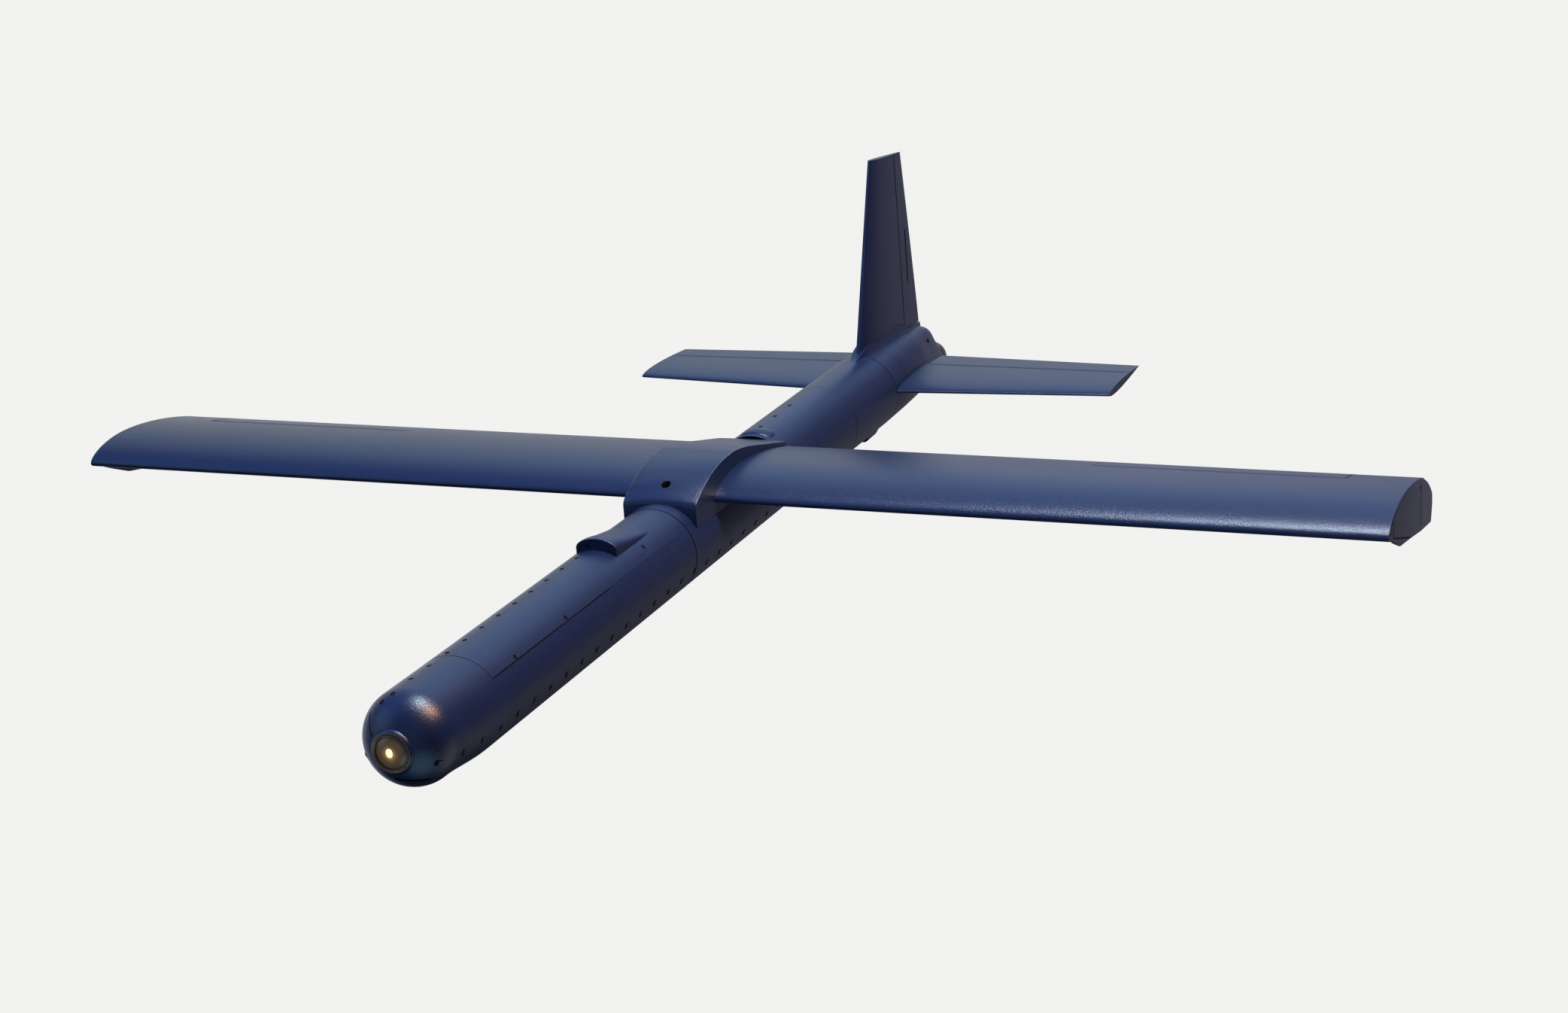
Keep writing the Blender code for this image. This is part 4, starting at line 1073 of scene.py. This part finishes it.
def make_fairing():
    rings = []
    for along in evenly(FAIRING[0][0], FAIRING[-1][0], 64):
        half, crest_z = spline(FAIRING, along)
        rings.append(fillet_ring(FIN_LE[0] + along, half, crest_z, min(0.012, 0.5 * half)))
    skin("fin_fillet", lofted(rings), "fin_fairing", 30)

    rings = []
    for i, y in enumerate(evenly(RUDDER_HINGE + 0.002, FIN_TE[0] + 0.003, 24)):
        share = i / 24
        half = 0.026 * (1 - share) + 0.0045 * share
        under = FIN_ROOT_Z - AXIS_Z + 0.0009 - 0.09 * (y - RUDDER_HINGE)
        rings.append(fillet_ring(y, half, under, 0.0115 * (1 - share) + 0.0016 * share))
    detail("rudder_fillet", lofted(rings), "navy_paint", PAINT, 30)


STAB_Z = AXIS_Z + 0.0055
STAB_FOIL = (0, 0.4, 0.07)
ELEVATOR_HINGE = HINGES["elevator_hinge"].y
STAB_LE = (ELEVATOR_HINGE - 0.1956, ELEVATOR_HINGE - 0.1612)
STAB_TE = (ELEVATOR_HINGE + 0.086, ELEVATOR_HINGE + 0.0624)
STAB_IN = 0.065
STAB_ROOT = 0.0708


def stab_edges(x):
    share = (x - STAB_ROOT) / (span_of("port_elevator", X)[1] - STAB_ROOT)
    return between(STAB_LE, share), between(STAB_TE, share)


def make_tailplane(name, side):
    root, tip = span_of("port_elevator", X)
    for kind, outline, count, start in (("_stabilizer", fixed_outline, 32, STAB_IN),
                                        ("_elevator", moving_outline, 14, root)):
        rings = []
        for x in evenly(start, tip, 10):
            section = outline(*stab_edges(x), ELEVATOR_HINGE, STAB_FOIL, count)
            rings.append([(side * x, y, STAB_Z + z) for y, z in section])
        rounded(skin(name + kind + "_skin", lofted(rings), name + kind, 38), 0.0003, 2, 50)
    shape = bmesh.new()
    path = []
    ahead = ELEVATOR_HINGE - 0.009
    for x in evenly(root, tip, 12):
        lead, trail = stab_edges(x)
        rise = surface((ahead - lead) / (trail - lead), STAB_FOIL, 1) * (trail - lead)
        path.append((Vector((side * x, ahead, STAB_Z + rise)), Vector((0, 0.05, 1)).normalized()))
    add_line(shape, path, 0.0022)
    detail(name + "_hinge_line", shape)


make_tail_body()
make_fin()
make_fairing()
for name, side in SIDES:
    make_tailplane(name, side)


# Seams, slots and screws

def skin_point(y, angle, side=1):
    """The (point, normal) of the fuselage or nose at one station and angle."""
    radius, lift = BODY_R, 0.0
    if y < NOSE_JOINT:
        radius, lift = BODY_R + (DOME_R - BODY_R) * nose_share(y), nose_lift(y)
    if y < DOME_Y:
        radius *= sqrt(1 - ((DOME_Y - y) / DOME_DEPTH) ** 2)
    out = Vector((side * cos(radians(angle)), 0, sin(radians(angle))))
    at = Vector((0, y, AXIS_Z + lift)) + radius * out
    if y < DOME_Y:
        out *= radius / DOME_R**2
        out.y = (y - DOME_Y) / DOME_DEPTH**2
    return at, out.normalized()


def on_dome(x, z):
    """The nose shell's point and normal where it is seen from straight ahead at (x, z)."""
    rise = z - NOSE_AXIS
    depth = DOME_DEPTH * sqrt(1 - (x**2 + rise**2) / DOME_R**2)
    normal = Vector((x / DOME_R**2, -depth / DOME_DEPTH**2, rise / DOME_R**2)).normalized()
    return Vector((x, DOME_Y - depth, z)), normal


SCREW = ((0.0038, -0.0008, 0), (0.0038, 0.00015, 0), (0.0034, 0.0003, 0), (0.0018, 0.00028, 0),
         (0.0014, -0.0001, 6), (0.0013, -0.0006, 6))
FILLER = ((-0.001, -0.0015), (0.0, -0.0015), (0.00008, -0.001), (0.00008, 0.001), (0.0, 0.0015),
          (-0.001, 0.0015))
SCREW_PITCH = 0.054
HATCH_ANGLE = 36.5
HATCH_LINE = 0.4    # how much of the hatch's side edge stands out
TICK_LONG, TICK_SHORT = 0.008, 0.005


def make_fillers():
    """Painted filler over the tube joints that aren't open."""
    for name, y in (("nose_filler", NOSE_JOINT), ("rear_filler", REAR_JOINT)):
        ring = [(BODY_R + rise, y + behind) for rise, behind in FILLER]
        detail(name, turned(ring, AXIS_Z, 144), "navy_paint", PAINT)


def make_seams():
    shape = bmesh.new()
    for y, start, end, width in ((NOSE_JOINT, 36, 144, 0.0017), (WING_JOINT, 0, 360, 0.0025),
                                 (REAR_JOINT, -22, 20, 0.0012), (REAR_JOINT, 160, 202, 0.0012),
                                 (TAIL_JOINT, 0, 70, 0.0013), (TAIL_JOINT, 110, 180, 0.0013)):
        turns = evenly(start, end, max(8, int((end - start) / 3)))
        add_line(shape, [skin_point(y, turn) for turn in turns], width)
    for turn in (HATCH_ANGLE, 180 - HATCH_ANGLE):
        places = evenly(NOSE_JOINT, NOSE_JOINT + HATCH_LINE, 24)
        add_line(shape, [skin_point(y, turn) for y in places], 0.002)
    detail("seam_lines", shape)


def make_screws():
    shape = bmesh.new()
    marks = bmesh.new()
    first_top = NOSE_JOINT - 0.1482
    first_low = NOSE_JOINT - 0.1704
    for i in range(12):
        add_turned(shape, *skin_point(first_top + SCREW_PITCH * i, 103), SCREW)
    for side in (1, -1):
        for i in range(24):
            y = first_low + SCREW_PITCH * i
            angle = -24 if WING_JOINT < y < REAR_JOINT else -21
            if y > TAIL_JOINT - 0.02:
                continue
            at, normal = skin_point(y, angle, side)
            add_turned(shape, at, normal, SCREW)
            down = Vector((side * sin(radians(angle)), 0, -cos(radians(angle))))
            corner = at - Vector((0, 0.0015, 0)) - down * 0.005
            aft = skin_point(y + TICK_LONG, angle, side)[0] - skin_point(y, angle, side)[0]
            for reach, width in ((aft, 0.0024), (down * TICK_SHORT, 0.0022)):
                add_line(marks, [(corner, normal), (corner + reach, normal)], width, 0.0002, 0.0008)
        for behind, angle in ((0.0795, 40.5), (0.2485, 40.9), (0.558, 52.0)):
            add_turned(shape, *skin_point(NOSE_JOINT + behind, angle, side), SCREW)
    for before in (0.2735, 0.204, 0.1295):
        add_turned(shape, *skin_point(REAR_JOINT - before, 95), SCREW)
    detail("skin_screws", shape, "black_steel", sharp=40)
    detail("skin_marks", marks)


def fin_line(z_from, z_to, y):
    """Both sides' (point, normal) paths up the fin or rudder at one station."""
    paths = []
    for side in (1, -1):
        path = []
        for z in evenly(z_from, z_to, 16):
            lead, trail = fin_edges(z)
            half = half_thickness((y - lead) / (trail - lead), FIN_FOIL[2]) * (trail - lead)
            path.append((Vector((side * half, y, z)), Vector((side, 0, 0))))
        paths.append(path)
    return paths


def make_fin_lines():
    """The hinge line and front creases of the fin, and the narrow slots in the rudder's sides."""
    _, radius = foil_at_hinge(FIN_LE[0], FIN_TE[0], RUDDER_HINGE, FIN_FOIL)
    shape = bmesh.new()
    gap = RUDDER_HINGE - LIP * radius + 0.0006
    for path in fin_line(FIN_ROOT_Z + 0.012, FIN_TOP_LE_Z - 0.012, gap):
        add_line(shape, path, 0.0016, 0.0001, 0.0006)
    for side in (1, -1):
        path = []
        for i in range(FIN_LEVELS + 1):
            z, lead, trail, width = fin_level(i)
            if z < FIN_ROOT_Z + 0.024:
                continue
            y = lead + face_share(trail - lead, width) * (trail - lead) + 0.0012
            at = Vector((side * width, y, fin_height(lead, z)))
            path.append((at, Vector((side, -0.2, 0)).normalized()))
        add_line(shape, path, 0.0028, 0.0003, 0.0008)
    detail("fin_lines", shape)
    shape = bmesh.new()
    for path in fin_line(AXIS_Z + 0.156, AXIS_Z + 0.271, RUDDER_HINGE + 0.041):
        add_line(shape, path, 0.0048, 0.0003, 0.0008)
    detail("rudder_slots", shape, body="rudder")


def make_nose_marks():
    shape = bmesh.new()
    places = zip(evenly(0.0407, -0.006, 16), evenly(AXIS_Z - 0.0431, AXIS_Z - 0.0397, 16))
    add_line(shape, [on_dome(x, z) for x, z in places], 0.0054, 0.0002, 0.0012)
    seam = []
    for share in evenly(0, 1, 12):
        z = AXIS_Z + 0.0504 - 0.0262 * share - 0.006 * sin(pi * share)
        seam.append(on_dome(-0.0449 + 0.016 * share, z))
    add_line(shape, seam, 0.0016, 0.0002, 0.0006)
    detail("nose_marks", shape)
    shape = bmesh.new()
    add_turned(shape, *on_dome(-0.0277, AXIS_Z + 0.0647), SCREW)
    detail("nose_screws", shape, "black_steel", sharp=40)


def make_blister_marks():
    """Black pieces for the oblong hole in the blister's front and a hole in the tail's hump: painted shade
    where the holes are.
    """
    shape = bmesh.new()
    face = Vector((0, -1, 0))
    front = Vector((-0.0147, span_of("dorsal_blister", Y)[0], AXIS_Z + 0.0824))
    hole = [(front + Vector((step, 0, 0)), face) for step in (-0.003, -0.0015, 0.0, 0.0015, 0.003)]
    add_line(shape, hole, 0.005, 0.0001, 0.001)
    along = 0.2939
    ring = tail_ring(along, 0.0)
    place = Vector((0.0413, TAIL_JOINT + along, AXIS_Z + 0.0297))
    nearest = min(range(len(ring)), key=lambda i: (Vector(ring[i]) - place).length)
    at = Vector(ring[nearest])
    across = Vector(ring[(nearest + 1) % len(ring)]) - Vector(ring[nearest - 1])
    ahead = Vector(tail_ring(along + 0.002, 0.0)[nearest]) - at
    normal = ahead.cross(across).normalized()
    if normal.x < 0:
        normal = -normal
    add_turned(shape, at, normal, ((0.0042, -0.004, 0), (0.0042, 0.0012, 0), (0.0032, 0.0013, 0)), 16)
    # Both holes are drawn as black pieces, not cut: painted shade.
    detail("painted_hole_shade", shape)


def make_tip_marks():
    """The joint lines and the screw in each tip plate's outer face."""
    for name, side in SIDES:
        shape = bmesh.new()
        out = Vector((side, 0, 0))
        x = side * SPAN / 2
        first = span_of(name + "_tip_plate", Y)[0]
        middle = first + 0.2966
        front = first + 0.0416
        lines = (((middle, AXIS_Z + 0.062), (middle, AXIS_Z - 0.011)),
                 ((front, AXIS_Z + 0.0775), (front, AXIS_Z + 0.051)),
                 ((front, AXIS_Z + 0.051), (first + 0.208, AXIS_Z - 0.0015)))
        for (y_from, z_from), (y_to, z_to) in lines:
            places = zip(evenly(y_from, y_to, 12), evenly(z_from, z_to, 12))
            add_line(shape, [(Vector((x, y, z)), out) for y, z in places], 0.0019, 0.0002, 0.0008)
        detail(name + "_tip_lines", shape)
        shape = bmesh.new()
        add_turned(shape, Vector((x, middle - 0.001, AXIS_Z + 0.0557)), out, SCREW)
        detail(name + "_tip_screw", shape, "black_steel", sharp=40)


make_fillers()
make_seams()
make_screws()
make_fin_lines()
make_nose_marks()
make_blister_marks()
make_tip_marks()


# Every other node: a refined copy in its slot's look

for node in sorted(set(NODES) - DETAILED):
    refined(node, PAINT if node == "wing_cradle" else SLOT_LOOKS[SLOT_OF[node]])
